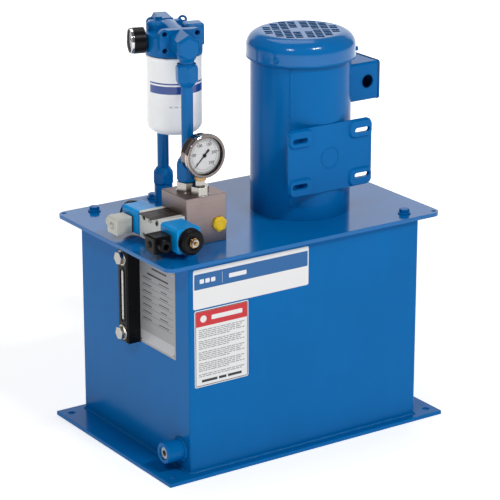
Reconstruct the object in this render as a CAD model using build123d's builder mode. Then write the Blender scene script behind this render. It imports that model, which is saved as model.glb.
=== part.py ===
from build123d import *
import math
import os

# Hydraulic power unit: an oil tank whose cover carries an electric motor, a manifold block with a
# directional valve and pressure gauge, and a return filter on two riser tubes.  A gear pump hangs
# from the cover inside the tank, driven by the motor through a jaw coupling.
# Millimetres.  Origin at the centre of the base plate's underside, +Z up, +X along the long side.
# The labelled long face looks along -Y, and the face with the level gauge looks along -X.

# ---------------------------------------------------------------- driving dimensions
# tank
base_overhang_x = 47.0
base_overhang_y = 14.0
base_thickness = 6.35
foot_hole_inset_x = 17.0
foot_hole_inset_y = 21.0
foot_hole_diameter = 12.0
tank_length = 448.0
tank_width = 334.0
tank_height = 344.0
tank_wall = 3.0
tank_bend_radius = 4.0
rim_width = 25.0
rim_thickness = 6.0
gasket_thickness = 3.0
cover_overhang_x = 42.0
cover_overhang_y = 8.0
cover_thickness = 6.35
cover_corner_radius = 16.0
cover_bolt_inset_x = 16.0
cover_bolt_inset_y = 19.0
lifting_hole_inset = 10.0
lifting_hole_diameter = 8.0

# hex fasteners, 3/8 inch
bolt_diameter = 9.5
bolt_hole_clearance = 0.75
bolt_head_flats = 14.3
bolt_head_height = 6.2
washer_diameter = 21.0
washer_thickness = 2.0

# drain
drain_y = -137.0
drain_z = 40.0
drain_boss_diameter = 35.0
drain_boss_length = 33.0
drain_boss_chamfer = 1.2
drain_thread_diameter = 21.0
drain_plug_length = 18.0
drain_hex = 9.5
drain_recess = 2.5

# level gauge
level_y = -6.5
level_z = 266.5
level_width = 28.5
level_depth = 25.0
level_height = 161.0
level_bolt_span = 127.0
level_bolt_diameter = 12.0
level_bolt_flats = 19.0
level_bolt_head = 8.0
level_slot_width = 9.0
level_slot_height = 88.0
level_slot_depth = 9.0
level_window_gap = 0.2
level_window_inset = 1.0
level_nut_height = 8.0

# breather
breather_end_distance = 64.0
breather_side_distance = 75.0
breather_neck_radius = 20.0
breather_neck_wall = 2.0
breather_neck_height = 22.0
breather_neck_depth = 60.0
breather_cap_radius = 29.0
breather_cap_height = 34.0
breather_cap_wall = 2.0
breather_cap_gap = 0.4
breather_cap_skirt = 14.0

# motor
motor_end_distance = 134.0
motor_y = -17.0
frame_radius = 82.7
frame_wall = 3.0
lower_bell_height = 22.0
frame_height = 232.0
upper_bell_height = 15.0
bell_plate = 6.0
pilot_radius = 57.15
pilot_depth = 4.0
face_bolt_circle = 149.2
face_bolt_depth = 16.0
shaft_core_radius = 14.0
shaft_end_radius = 7.94
shaft_end_length = 52.0
lower_bearing_bore = 12.5
lower_bearing_outer = 26.0
lower_bearing_width = 15.0
upper_bearing_bore = 8.5
upper_bearing_outer = 20.0
upper_bearing_width = 12.0
bearing_ring = 3.5
bearing_gap = 0.4
stack_height = 100.0
stack_bottom_gap = 60.0
stator_bore = 46.5
air_gap = 0.5
slot_count = 24
slot_width = 5.0
slot_depth = 16.0
winding_overhang = 22.0
fan_radius = 72.0
fan_blades = 8
fan_blade_thickness = 2.5
fan_blade_height = 22.0
fan_hub_radius = 16.0
fan_cover_radius = 89.6
fan_cover_wall = 1.5
fan_cover_height = 42.0
fan_cover_dome = 24.0
fan_cover_gap = 3.3
grille_radius = 64.0
grille_hole_length = 12.4
grille_hole_width = 8.8
grille_pitch_along = 15.0
grille_pitch_across = 11.2
grille_turn = -27.0
grille_band = 4.5
grille_centre = 16.0
grille_corner = 1.2
grille_edge = 3.0
lug_count = 3
lug_first_angle = 89.0
lug_width = 14.0
lug_clearance = 0.6

# motor foot
foot_face_distance = 88.9
foot_length = 166.0
foot_height = 112.5
foot_corner = 11.0
foot_sheet = 3.0
foot_pad_rise = 4.5
foot_slot_span_x = 123.8
foot_slot_span_z = 76.2
foot_slot_length = 30.0
foot_slot_width = 8.7
foot_centre_drop = 103.5
foot_pad_length = 47.0
foot_pad_taper = 32.0
foot_pad_height = 31.0
foot_leg_offset = 44.0
foot_embossed_ring = 18.0
foot_ring_width = 2.0
foot_ring_rise = 0.8

# conduit box
conduit_reach = 130.0
conduit_front = 38.0
conduit_height = 64.0
conduit_centre = 205.5
conduit_wall = 2.5
conduit_cover_thickness = 2.5
conduit_hole_diameter = 22.2
conduit_hole_from_end = 22.0
conduit_lead_hole = 15.0

# pump drive
adapter_flange_radius = 84.0
adapter_flange_thickness = 12.0
adapter_outer_radius = 58.0
adapter_wall = 7.0
adapter_height = 110.0
adapter_window_width = 50.0
adapter_window_height = 40.0
hub_radius = 27.0
hub_length = 25.0
hub_gap = 14.0
jaw_count = 3
jaw_width = 9.0
jaw_inner_radius = 16.0
jaw_end_gap = 1.0
lobe_width = 7.2
spider_clearance = 0.4
pump_shaft_radius = 8.0
pump_pilot_radius = 25.4
pump_pilot_depth = 6.0
pump_bolt_span_x = 60.0
pump_bolt_span_y = 96.0
pump_bolt_head = 5.0
pump_width = 84.0
pump_cover_thickness = 20.0
pump_body_height = 46.0
gear_teeth = 12
gear_module = 3.0
gear_pressure_angle = 28.0
gear_backlash = 0.012
gear_height = 30.0
gear_tip_clearance = 0.15
gear_journal_radius = 9.0
journal_clearance = 0.05
gear_side_clearance = 0.1
journal_length = 14.0

# oil lines inside the tank
suction_pipe_radius = 13.5
suction_pipe_wall = 2.5
suction_reach = 48.0
suction_bend = 30.0
strainer_radius = 30.0
strainer_height = 52.0
strainer_floor_gap = 18.0
strainer_edge = 3.0
strainer_pipe_reach = 8.0
pressure_tube_radius = 6.35
pressure_tube_wall = 1.5
pressure_bend = 24.0
pressure_reach = 90.0

# manifold block
block_end_distance = 39.0
block_side_distance = 67.5
block_length = 75.0
block_width = 73.5
block_height = 78.8
block_chamfer = 0.8
block_port_from_left = 60.0
block_port_from_front = 49.5
plug_radius = 11.5
plug_height = 5.0
plug_from_left = 60.7
plug_z = 29.5
port_thread_radius = 9.0
port_depth = 20.0
relief_from_left = 55.0
relief_z = 42.0
relief_length = 44.0

# directional valve
valve_depth = 44.0
valve_length = 67.0
valve_height = 44.0
valve_z = 29.3
valve_bolt_span_y = 40.5
valve_bolt_span_z = 31.0
valve_bolt_radius = 2.5
valve_head_radius = 4.2
valve_head_height = 5.0
spool_radius = 8.0
spool_clearance = 0.02
spool_travel = 3.0
spool_axis_depth = 24.5
coil_length = 50.0
coil_size = 43.0
coil_height = 40.0
coil_corner = 5.0
core_radius = 11.0
nut_radius = 20.0
nut_thickness = 11.0
pin_radius = 3.0
pin_stand_out = 3.5
pin_clearance = 0.06
pin_length = 20.0
pin_guide_radius = 6.0
pin_guide_stand_out = 7.0
connector_depth = 29.0
connector_length = 29.0
connector_height = 28.0
connector_seal = 3.0
connector_edge = 2.0
connector_drop = 5.0
connector_screw_radius = 3.4
connector_screw_rise = 1.2
gland_radius = 10.5
gland_length = 12.0
gland_edge = 1.5
gland_bore = 5.0
gland_bore_depth = 14.0
rear_connector_y = -15.0
front_connector_y = -100.0

# pressure gauge
gauge_from_left = 34.5
gauge_from_front = 13.5
gauge_radius = 35.5
gauge_case_radius = 32.5
gauge_bezel_depth = 7.0
gauge_case_depth = 20.0
gauge_front_offset = 19.0
gauge_centre_height = 66.5
gauge_lens_thickness = 2.0
gauge_lens_inset = 1.5
gauge_needle_length = 24.0
gauge_needle_tail = 12.0
gauge_needle_tail_half = 2.2
gauge_needle_neck_half = 1.1
gauge_needle_tip_half = 0.45
gauge_hub_radius = 3.0
gauge_needle_rest = 225.0
gauge_stem_size = 14.0
gauge_adapter_flats = 25.4
gauge_adapter_height = 14.5
gauge_adapter_neck_flats = 14.5
gauge_adapter_neck_height = 9.5

# filter
riser_from_left = 30.5
riser_from_front = 43.5
filter_turn = -18.0
riser_span = 162.0
tube_radius = 9.53
tube_wall = 1.65
riser_adapter_flats = 31.75
riser_adapter_height = 16.0
nut_flats = 31.75
nut_chamfer = 5.0
nut_end_radius = 14.6
lower_nut_height = 34.0
upper_nut_height = 29.5
rear_nut_height = 22.0
elbow_bottom = 283.8
pad_offset = 47.0
pad_width = 69.0
pad_above = 19.5
pad_below = 23.0
rear_pad_lower = 3.5
pad_thickness = 14.0
pad_corner = 9.0
pad_rise = 26.8
pad_bolt_span_x = 52.4
pad_bolt_span_z = 26.2
pad_bolt_radius = 4.0
pad_bolt_depth = 12.0
head_radius = 46.0
head_bottom = 284.5
head_skirt_height = 12.0
head_shoulder_height = 34.0
head_shoulder_round = 5.0
head_barrel_radius = 19.0
head_block_length = 31.0
head_block_depth = 30.0
head_block_across = 32.0
head_block_above = 19.5
head_block_corner = 6.0
head_block_round = 4.0
head_boss_radius = 15.0
head_boss_across = -25.0
head_boss_rear = 18.0
head_boss_above = 21.0
head_boss_round = 6.0
head_nub_flats = 11.0
head_nub_across = -18.0
head_nub_rear = 27.0
head_nub_rise = 5.0
head_bore = 30.0
head_bore_depth = 6.0
head_port_step = 4.0
head_port_start = 26.0
indicator_boss_radius = 8.0
port_radius = 12.0
canister_radius = 45.0
canister_length = 127.0
canister_wall = 1.2
canister_gasket = 2.0
canister_bottom_radius = 18.0
nipple_radius = 11.0
nipple_clearance = 0.4
nipple_reach = 14.0
element_radius = 36.0
element_bore = 16.0
elbow_flats = 35.5
elbow_outer_reach = 17.0
elbow_end_taper = 35.0
elbow_end_depth = 5.0
elbow_body_radius = 15.0
elbow_body_drop = 17.0
elbow_body_taper = 32.0
elbow_taper_height = 5.0
elbow_neck_radius = 11.8
elbow_spigot = 12.0
indicator_radius = 20.8
indicator_length = 22.5
indicator_wall = 2.0
indicator_stem_radius = 6.0
indicator_gap = 3.0
indicator_drop = 4.5
indicator_lens_thickness = 2.0
return_flange_length = 92.0
return_flange_width = 46.0
return_flange_thickness = 9.0
return_bolt_span = 66.0
return_body_radius = 15.0
return_body_height = 43.0
return_pipe_drop = 250.0

# ---------------------------------------------------------------- derived places
base_length = tank_length + 2 * base_overhang_x
base_width = tank_width + 2 * base_overhang_y
foot_hole_span_x = base_length - 2 * foot_hole_inset_x
foot_hole_span_y = base_width - 2 * foot_hole_inset_y
cover_length = tank_length + 2 * cover_overhang_x
cover_width = tank_width + 2 * cover_overhang_y
cover_bolt_span_x = tank_length - 2 * cover_bolt_inset_x
cover_bolt_span_y = tank_width - 2 * cover_bolt_inset_y
lifting_hole_span_x = cover_length - 2 * lifting_hole_inset
lifting_hole_span_y = cover_width - 2 * lifting_hole_inset
tank_floor = base_thickness
rim_top = tank_floor + tank_height
cover_bottom = rim_top + gasket_thickness
cover_top = cover_bottom + cover_thickness
inner_length = tank_length - 2 * tank_wall
inner_width = tank_width - 2 * tank_wall
motor_x = tank_length / 2 - motor_end_distance
motor_spot = (motor_x, motor_y)
breather_x = tank_length / 2 - breather_end_distance
breather_y = tank_width / 2 - breather_side_distance
bolt_hole_radius = bolt_diameter / 2 + bolt_hole_clearance

frame_bottom = cover_top + lower_bell_height
frame_top = frame_bottom + frame_height
upper_bell_top = frame_top + upper_bell_height
fan_cover_bottom = frame_top + fan_cover_gap
fan_cover_top = fan_cover_bottom + fan_cover_height
fan_bottom = upper_bell_top + 3.0
stack_bottom = frame_bottom + stack_bottom_gap
frame_bore = frame_radius - frame_wall
shaft_end = cover_top - shaft_end_length

adapter_top = cover_bottom
adapter_bottom = adapter_top - adapter_height
pump_face = adapter_bottom
pump_body_top = pump_face - pump_cover_thickness
pump_body_bottom = pump_body_top - pump_body_height
gear_pitch_radius = gear_module * gear_teeth / 2
gear_tip_radius = gear_pitch_radius + gear_module
gear_centre_distance = 2 * gear_pitch_radius
idler_y = motor_y + gear_centre_distance
pump_centre_y = motor_y + gear_centre_distance / 2
pump_length = pump_width + gear_centre_distance
gear_top = pump_body_top - gear_side_clearance
gear_bottom = gear_top - gear_height
jaw_level = shaft_end - hub_gap

block_left = block_end_distance - tank_length / 2
block_front = block_side_distance - tank_width / 2
block_back = block_front + block_width
block_port_x = block_left + block_port_from_left
block_port_y = block_front + block_port_from_front
plug_x = block_left + plug_from_left
relief_x = block_left + relief_from_left
block_top = cover_top + block_height
block_centre_x = block_left + block_length / 2
block_centre_y = block_front + block_width / 2
valve_centre_z = cover_top + valve_z
spool_x = block_left - spool_axis_depth
valve_front = block_centre_y - valve_length / 2
valve_back = block_centre_y + valve_length / 2
coil_outer_x = spool_x - coil_size / 2
connector_z = valve_centre_z - connector_drop

riser_x = block_left + riser_from_left
riser_y = block_front + riser_from_front
gauge_x = block_left + gauge_from_left
gauge_y = block_front + gauge_from_front
turn = math.radians(filter_turn)
rear_direction = (-math.sin(turn), math.cos(turn))
filter_x = riser_x + rear_direction[0] * riser_span / 2
filter_y = riser_y + rear_direction[1] * riser_span / 2
return_x = riser_x + rear_direction[0] * riser_span
return_y = riser_y + rear_direction[1] * riser_span
head_base = cover_top + head_bottom
pad_z = head_base + pad_rise
canister_top = head_base - canister_gasket
gauge_z = block_top + gauge_centre_height
gauge_front_y = gauge_y - gauge_front_offset
elbow_base = cover_top + elbow_bottom


# ---------------------------------------------------------------- shared helpers
def filter_plane(height):
    """Plane on the canister's axis: X across the head, Y towards the rear riser."""
    return Plane(
        origin=(filter_x, filter_y, height),
        x_dir=(math.cos(turn), math.sin(turn), 0),
        z_dir=(0, 0, 1),
    )


def facing_front(x, y, z):
    """Plane whose normal looks along -Y, with its sketch X along +X."""
    return Plane(origin=(x, y, z), x_dir=(1, 0, 0), z_dir=(0, -1, 0))


def facing_left(x, y, z):
    """Plane whose normal looks along -X, with its sketch X along -Y."""
    return Plane(origin=(x, y, z), x_dir=(0, -1, 0), z_dir=(-1, 0, 0))


def save(part, label):
    """Name a finished piece and write its STEP file."""
    part.label = label
    export_step(part, os.path.join("parts", label + ".step"))


def hexagon(flats):
    """Corner radius of a hexagon from its size across flats."""
    return flats / math.sqrt(3)


def disc(plane, radius, height, mode=Mode.ADD, bore=0.0):
    """Cylinder or ring that stands on a plane, inside the current part."""
    with BuildSketch(plane) as profile:
        Circle(radius)
        if bore:
            Circle(bore, mode=Mode.SUBTRACT)
    extrude(profile.sketch, amount=height, mode=mode)


def hex_prism(plane, flats, height, bore=0.0, rotation=0.0):
    """Hexagonal prism that stands on a plane, inside the current part."""
    with BuildSketch(plane) as profile:
        RegularPolygon(hexagon(flats), 6, rotation=rotation)
        if bore:
            Circle(bore, mode=Mode.SUBTRACT)
    extrude(profile.sketch, amount=height)


def turned_hex(plane, flats, height, bore=0.0, rotation=0.0):
    """Hex nut with its corners turned down at both ends, inside the current part."""
    with BuildPart(mode=Mode.PRIVATE) as nut:
        with BuildSketch(plane):
            RegularPolygon(hexagon(flats), 6, rotation=rotation)
        extrude(amount=height)
        with BuildSketch(Plane(origin=plane.origin, x_dir=plane.x_dir, z_dir=-plane.y_dir)):
            with BuildLine():
                Polyline((0, 0), (nut_end_radius, 0), (hexagon(flats), nut_chamfer),
                         (hexagon(flats), height - nut_chamfer), (nut_end_radius, height),
                         (0, height), close=True)
            make_face()
        revolve(axis=Axis(plane.origin, plane.z_dir), revolution_arc=360, mode=Mode.INTERSECT)
        with BuildSketch(plane):
            Circle(bore)
        extrude(amount=height, mode=Mode.SUBTRACT)
    add(nut.part)


def slab(plane, length, width, height, corner=0.0, mode=Mode.ADD):
    """Rectangular block, with rounded corners where asked, that stands on a plane."""
    with BuildSketch(plane) as profile:
        if corner:
            RectangleRounded(length, width, corner)
        else:
            Rectangle(length, width)
    extrude(profile.sketch, amount=height, mode=mode)


def at(x, y, z):
    """Horizontal plane at a point."""
    return Plane(origin=(x, y, z))


def motor_at(z):
    """Horizontal plane on the motor's axis."""
    return Plane(origin=(motor_x, motor_y, z))


def ring_of(count, radius, first=0.0):
    """Points evenly spaced on a circle."""
    step = 360.0 / count
    angles = [math.radians(first + i * step) for i in range(count)]
    return [(radius * math.cos(a), radius * math.sin(a)) for a in angles]


def corners(span_x, span_y):
    """The four corners of a centred rectangle."""
    return [(sx * span_x / 2, sy * span_y / 2) for sx in (-1, 1) for sy in (-1, 1)]


os.makedirs("parts", exist_ok=True)


# ---------------------------------------------------------------- tank
def make_base_plate():
    with BuildPart() as base_plate:
        with BuildSketch(Plane.XY):
            Rectangle(base_length, base_width)
            with Locations(*corners(foot_hole_span_x, foot_hole_span_y)):
                Circle(foot_hole_diameter / 2, mode=Mode.SUBTRACT)
        extrude(amount=base_thickness)
    save(base_plate.part, "base_plate")


def make_tank_walls():
    with BuildPart() as tank_walls:
        with BuildSketch(Plane.XY.offset(tank_floor)):
            RectangleRounded(tank_length, tank_width, tank_bend_radius)
            RectangleRounded(inner_length, inner_width, tank_bend_radius / 2, mode=Mode.SUBTRACT)
        extrude(amount=tank_height)
        with BuildSketch(Plane.XY.offset(rim_top - rim_thickness)):
            RectangleRounded(inner_length, inner_width, tank_bend_radius / 2)
            Rectangle(inner_length - 2 * rim_width, inner_width - 2 * rim_width, mode=Mode.SUBTRACT)
            with Locations(*corners(cover_bolt_span_x, cover_bolt_span_y)):
                Circle(bolt_diameter / 2, mode=Mode.SUBTRACT)
        extrude(amount=rim_thickness)
        with BuildSketch(facing_left(-tank_length / 2 + tank_wall, drain_y, drain_z)):
            Circle(drain_thread_diameter / 2)
        extrude(amount=2 * tank_wall, mode=Mode.SUBTRACT)
        with BuildSketch(facing_left(-tank_length / 2 + tank_wall, level_y, level_z)):
            with Locations((0, level_bolt_span / 2), (0, -level_bolt_span / 2)):
                Circle(level_bolt_diameter / 2 + 0.5)
        extrude(amount=2 * tank_wall, mode=Mode.SUBTRACT)
        disc(facing_left(-tank_length / 2, drain_y, drain_z), drain_boss_diameter / 2,
             drain_boss_length, bore=drain_thread_diameter / 2)
        chamfer(tank_walls.edges().group_by(Axis.X)[0], drain_boss_chamfer)
    save(tank_walls.part, "tank_walls")


def make_cover_gasket():
    with BuildPart() as cover_gasket:
        with BuildSketch(Plane.XY.offset(rim_top)):
            RectangleRounded(tank_length - 1, tank_width - 1, tank_bend_radius)
            Rectangle(inner_length - 2 * rim_width, inner_width - 2 * rim_width, mode=Mode.SUBTRACT)
            with Locations(*corners(cover_bolt_span_x, cover_bolt_span_y)):
                Circle(bolt_hole_radius, mode=Mode.SUBTRACT)
        extrude(amount=gasket_thickness)
    save(cover_gasket.part, "cover_gasket")


def make_cover_plate():
    with BuildPart() as cover_plate:
        with BuildSketch(Plane.XY.offset(cover_bottom)):
            RectangleRounded(cover_length, cover_width, cover_corner_radius)
            with Locations(*corners(cover_bolt_span_x, cover_bolt_span_y)):
                Circle(bolt_hole_radius, mode=Mode.SUBTRACT)
            with Locations(*corners(lifting_hole_span_x, lifting_hole_span_y)):
                Circle(lifting_hole_diameter / 2, mode=Mode.SUBTRACT)
            with Locations(motor_spot):
                Circle(pilot_radius + 0.1, mode=Mode.SUBTRACT)
                with Locations(*ring_of(4, face_bolt_circle / 2, 45)):
                    Circle(bolt_hole_radius, mode=Mode.SUBTRACT)
            with Locations((block_port_x, block_port_y)):
                Circle(pressure_tube_radius + 0.5, mode=Mode.SUBTRACT)
            with Locations((return_x, return_y)):
                Circle(tube_radius + 1, mode=Mode.SUBTRACT)
                with Locations((0, return_bolt_span / 2), (0, -return_bolt_span / 2)):
                    Circle(bolt_diameter / 2, mode=Mode.SUBTRACT)
            with Locations((breather_x, breather_y)):
                Circle(breather_neck_radius - breather_neck_wall, mode=Mode.SUBTRACT)
        extrude(amount=cover_thickness)
        breather_plane = at(breather_x, breather_y, cover_top)
        neck_bore = breather_neck_radius - breather_neck_wall
        disc(breather_plane, breather_neck_radius, breather_neck_height, bore=neck_bore)
        under = at(breather_x, breather_y, cover_bottom - breather_neck_depth)
        disc(under, breather_neck_radius, breather_neck_depth, bore=neck_bore)
        disc(under, neck_bore + 0.5, breather_neck_wall)
    save(cover_plate.part, "cover_plate")


def make_cover_bolts():
    """Hex bolts with washers: four hold the cover, two hold the return flange."""
    spots = [(x, y, cover_top, cover_thickness + gasket_thickness + rim_thickness + 4)
             for x, y in corners(cover_bolt_span_x, cover_bolt_span_y)]
    flange_top = cover_top + return_flange_thickness
    for side in (-1, 1):
        spots.append((return_x, return_y + side * return_bolt_span / 2, flange_top,
                      return_flange_thickness + cover_thickness))
    with BuildPart() as cover_bolts:
        for x, y, z, length in spots:
            disc(at(x, y, z), washer_diameter / 2, washer_thickness)
            hex_prism(at(x, y, z + washer_thickness), bolt_head_flats, bolt_head_height, rotation=20)
            disc(at(x, y, z - length), bolt_diameter / 2, length)
    save(cover_bolts.part, "cover_bolts")


def make_drain_plug():
    mouth = -tank_length / 2 - drain_boss_length
    with BuildPart() as drain_plug:
        plug_plane = facing_left(mouth + drain_recess + drain_plug_length, drain_y, drain_z)
        disc(plug_plane, drain_thread_diameter / 2 - 0.05, drain_plug_length)
        chamfer(drain_plug.edges().group_by(Axis.X)[0], 0.8)
        with BuildSketch(facing_left(mouth + drain_recess + 9, drain_y, drain_z)):
            RegularPolygon(hexagon(drain_hex), 6)
        extrude(amount=10, mode=Mode.SUBTRACT)
    save(drain_plug.part, "drain_plug")


def make_level_gauge():
    wall_x = -tank_length / 2
    face_x = wall_x - level_depth
    centre = facing_left(wall_x, level_y, level_z)
    with BuildPart() as level_gauge_housing:
        slab(centre, level_width, level_height, level_depth)
        long_edges = level_gauge_housing.faces().sort_by(Axis.X)[0].edges()
        chamfer(long_edges, 2.5)
        slot = facing_left(face_x + level_slot_depth, level_y, level_z)
        with BuildSketch(slot):
            SlotOverall(level_slot_height, level_slot_width, rotation=90)
        extrude(amount=level_slot_depth + 1, mode=Mode.SUBTRACT)
        with BuildSketch(centre):
            with Locations((0, level_bolt_span / 2), (0, -level_bolt_span / 2)):
                Circle(level_bolt_diameter / 2)
        extrude(amount=level_depth, mode=Mode.SUBTRACT)
    save(level_gauge_housing.part, "level_gauge_housing")

    with BuildPart() as level_gauge_window:
        with BuildSketch(slot):
            SlotOverall(level_slot_height - 2 * level_window_gap,
                        level_slot_width - 2 * level_window_gap, rotation=90)
        extrude(amount=level_slot_depth - level_window_inset)
    save(level_gauge_window.part, "level_gauge_window")

    with BuildPart() as level_gauge_bolts:
        for side in (-1, 1):
            z = level_z + side * level_bolt_span / 2
            hex_prism(facing_left(face_x, level_y, z), level_bolt_flats, level_bolt_head, rotation=12)
            inner = wall_x + tank_wall
            shank = level_depth + tank_wall + level_nut_height
            disc(facing_left(inner + level_nut_height, level_y, z), level_bolt_diameter / 2, shank)
            hex_prism(facing_left(inner + level_nut_height, level_y, z), level_bolt_flats,
                      level_nut_height)
    save(level_gauge_bolts.part, "level_gauge_bolts")


def make_breather_cap():
    top = cover_top + breather_neck_height
    rest = at(breather_x, breather_y, top - breather_cap_skirt)
    bore = breather_neck_radius + breather_cap_gap
    with BuildPart() as breather_cap:
        disc(rest, breather_cap_radius, breather_cap_height)
        fillet(breather_cap.edges().group_by(Axis.Z)[-1], 7)
        disc(rest, bore, breather_cap_skirt, mode=Mode.SUBTRACT)
        neck_bore = breather_neck_radius - breather_neck_wall
        disc(at(breather_x, breather_y, top), neck_bore,
             breather_cap_height - breather_cap_skirt - breather_cap_wall, mode=Mode.SUBTRACT)
        with BuildSketch(rest):
            with Locations(*ring_of(12, breather_cap_radius, 0)):
                Circle(2.2)
        extrude(amount=breather_cap_skirt + 8, mode=Mode.SUBTRACT)
    save(breather_cap.part, "breather_cap")


# ---------------------------------------------------------------- motor
def make_motor_housing():
    with BuildPart() as motor_frame:
        disc(motor_at(frame_bottom), frame_radius, frame_height, bore=frame_bore)
        conduit_spot = Plane(origin=(motor_x, motor_y, cover_top + conduit_centre),
                             x_dir=(0, 1, 0), z_dir=(1, 0, 0))
        disc(conduit_spot, conduit_lead_hole, 2 * frame_radius, mode=Mode.SUBTRACT)
    save(motor_frame.part, "motor_frame")

    with BuildPart() as motor_lower_bell:
        disc(motor_at(cover_top), frame_radius, lower_bell_height)
        disc(motor_at(cover_top - pilot_depth), pilot_radius, pilot_depth)
        disc(motor_at(cover_top + bell_plate), frame_radius - 10, lower_bell_height, mode=Mode.SUBTRACT)
        hub_plane = motor_at(cover_top)
        disc(hub_plane, lower_bearing_outer + 6, bell_plate + lower_bearing_width)
        disc(motor_at(cover_top + bell_plate), lower_bearing_outer, lower_bearing_width,
             mode=Mode.SUBTRACT)
        disc(motor_at(cover_top - pilot_depth), lower_bearing_bore + 3, lower_bell_height,
             mode=Mode.SUBTRACT)
        with BuildSketch(motor_at(cover_top)):
            with Locations(*ring_of(4, face_bolt_circle / 2, 45)):
                Circle(bolt_diameter / 2)
        extrude(amount=face_bolt_depth, mode=Mode.SUBTRACT)
    save(motor_lower_bell.part, "motor_lower_bell")

    with BuildPart() as motor_upper_bell:
        disc(motor_at(frame_top), frame_radius, upper_bell_height)
        hollow_height = upper_bell_height - bell_plate
        disc(motor_at(frame_top), frame_radius - 8, hollow_height, mode=Mode.SUBTRACT)
        disc(motor_at(frame_top - 4), upper_bearing_outer + 5, upper_bell_height + 4)
        disc(motor_at(frame_top - 4), upper_bearing_outer, upper_bearing_width, mode=Mode.SUBTRACT)
        disc(motor_at(frame_top - 4), upper_bearing_bore + 1.5, 2 * upper_bell_height,
             mode=Mode.SUBTRACT)
        lug_reach = fan_cover_radius - fan_cover_wall - lug_clearance
        for x, y in ring_of(lug_count, 1, lug_first_angle):
            lug = Plane(origin=(motor_x, motor_y, frame_top + upper_bell_height / 2),
                        x_dir=(-y, x, 0), z_dir=(x, y, 0))
            slab(lug.offset(frame_radius - 4), lug_width, upper_bell_height - 2,
                 lug_reach - frame_radius + 4)
    save(motor_upper_bell.part, "motor_upper_bell")


def grille_points():
    """Centres of the oblong holes: a turned grid, left out along a cross and at the middle."""
    reach = int(grille_radius / grille_pitch_across) + 1
    points = []
    for i in range(-reach, reach):
        for j in range(-reach, reach):
            x = (i + 0.5) * grille_pitch_along + math.copysign(grille_band / 2, i + 0.5)
            y = (j + 0.5) * grille_pitch_across + math.copysign(grille_band / 2, j + 0.5)
            corner = math.hypot(abs(x) + grille_hole_length / 2, abs(y) + grille_hole_width / 2)
            if corner < grille_radius + grille_edge and math.hypot(x, y) > grille_centre:
                points.append((x, y))
    return points


def make_fan_cover():
    half_wall = fan_cover_wall
    dome_start = fan_cover_top - fan_cover_dome
    flat = fan_cover_radius - fan_cover_dome
    dome_sin = math.sin(math.radians(45)) * fan_cover_dome
    inner_sin = math.sin(math.radians(45)) * (fan_cover_dome - half_wall)
    with BuildPart() as motor_fan_cover:
        with BuildSketch(Plane(origin=(motor_x, motor_y, 0), x_dir=(1, 0, 0), z_dir=(0, -1, 0))):
            with BuildLine():
                Line((0, fan_cover_top), (flat, fan_cover_top))
                ThreePointArc((flat, fan_cover_top), (flat + dome_sin, dome_start + dome_sin),
                              (fan_cover_radius, dome_start))
                Line((fan_cover_radius, dome_start), (fan_cover_radius, fan_cover_bottom))
                Line((fan_cover_radius, fan_cover_bottom),
                     (fan_cover_radius - half_wall, fan_cover_bottom))
                Line((fan_cover_radius - half_wall, fan_cover_bottom),
                     (fan_cover_radius - half_wall, dome_start))
                ThreePointArc((fan_cover_radius - half_wall, dome_start),
                              (flat + inner_sin, dome_start + inner_sin),
                              (flat, fan_cover_top - half_wall))
                Line((flat, fan_cover_top - half_wall), (0, fan_cover_top - half_wall))
                Line((0, fan_cover_top - half_wall), (0, fan_cover_top))
            make_face()
        revolve(axis=Axis((motor_x, motor_y, 0), (0, 0, 1)), revolution_arc=360)
        holes = Plane(origin=(motor_x, motor_y, fan_cover_top - 2 * half_wall),
                      x_dir=(math.cos(math.radians(grille_turn)), math.sin(math.radians(grille_turn)), 0),
                      z_dir=(0, 0, 1))
        with BuildSketch(holes):
            with Locations(*grille_points()):
                RectangleRounded(grille_hole_length, grille_hole_width, grille_corner)
        extrude(amount=3 * half_wall, mode=Mode.SUBTRACT)
    save(motor_fan_cover.part, "motor_fan_cover")


def make_motor_foot():
    face_y = motor_y - foot_face_distance
    sheet_y = face_y + foot_pad_rise
    centre_z = cover_top + foot_centre_drop
    front = facing_front(motor_x, sheet_y + foot_sheet, centre_z)
    with BuildPart() as motor_foot:
        slab(front, foot_length, foot_height, foot_sheet, corner=foot_corner)
        for sx, sz in corners(foot_slot_span_x, foot_slot_span_z):
            pad = facing_front(motor_x + sx, sheet_y, centre_z + sz)
            outer = math.copysign(1, sx) * (foot_length - foot_slot_span_x - foot_pad_length) / 2
            rise = math.copysign(1, sz) * (foot_height - foot_slot_span_z - foot_pad_height) / 2
            with BuildSketch(pad):
                with Locations((outer, rise)):
                    RectangleRounded(foot_pad_length, foot_pad_height, foot_corner)
            extrude(amount=foot_pad_rise, taper=foot_pad_taper)
        leg_reach = foot_leg_offset
        root_y = motor_y - math.sqrt(frame_radius ** 2 - leg_reach ** 2) + 1.5
        for side in (-1, 1):
            leg = facing_front(motor_x + side * leg_reach, root_y, centre_z)
            with BuildSketch(leg):
                Rectangle(foot_sheet, foot_height - 2 * foot_corner)
            extrude(amount=root_y - sheet_y - foot_sheet)
        with BuildSketch(motor_at(cover_top)):
            Circle(frame_radius)
        extrude(amount=frame_top - cover_top, mode=Mode.SUBTRACT)
        with BuildSketch(facing_front(motor_x, sheet_y + 2 * foot_sheet, centre_z)):
            with Locations(*corners(foot_slot_span_x, foot_slot_span_z)):
                SlotOverall(foot_slot_length, foot_slot_width)
        extrude(amount=4 * foot_pad_rise, mode=Mode.SUBTRACT)
        with BuildSketch(facing_front(motor_x, sheet_y, centre_z)):
            Circle(foot_embossed_ring)
            Circle(foot_embossed_ring - foot_ring_width, mode=Mode.SUBTRACT)
        extrude(amount=foot_ring_rise)
    save(motor_foot.part, "motor_foot")


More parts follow.
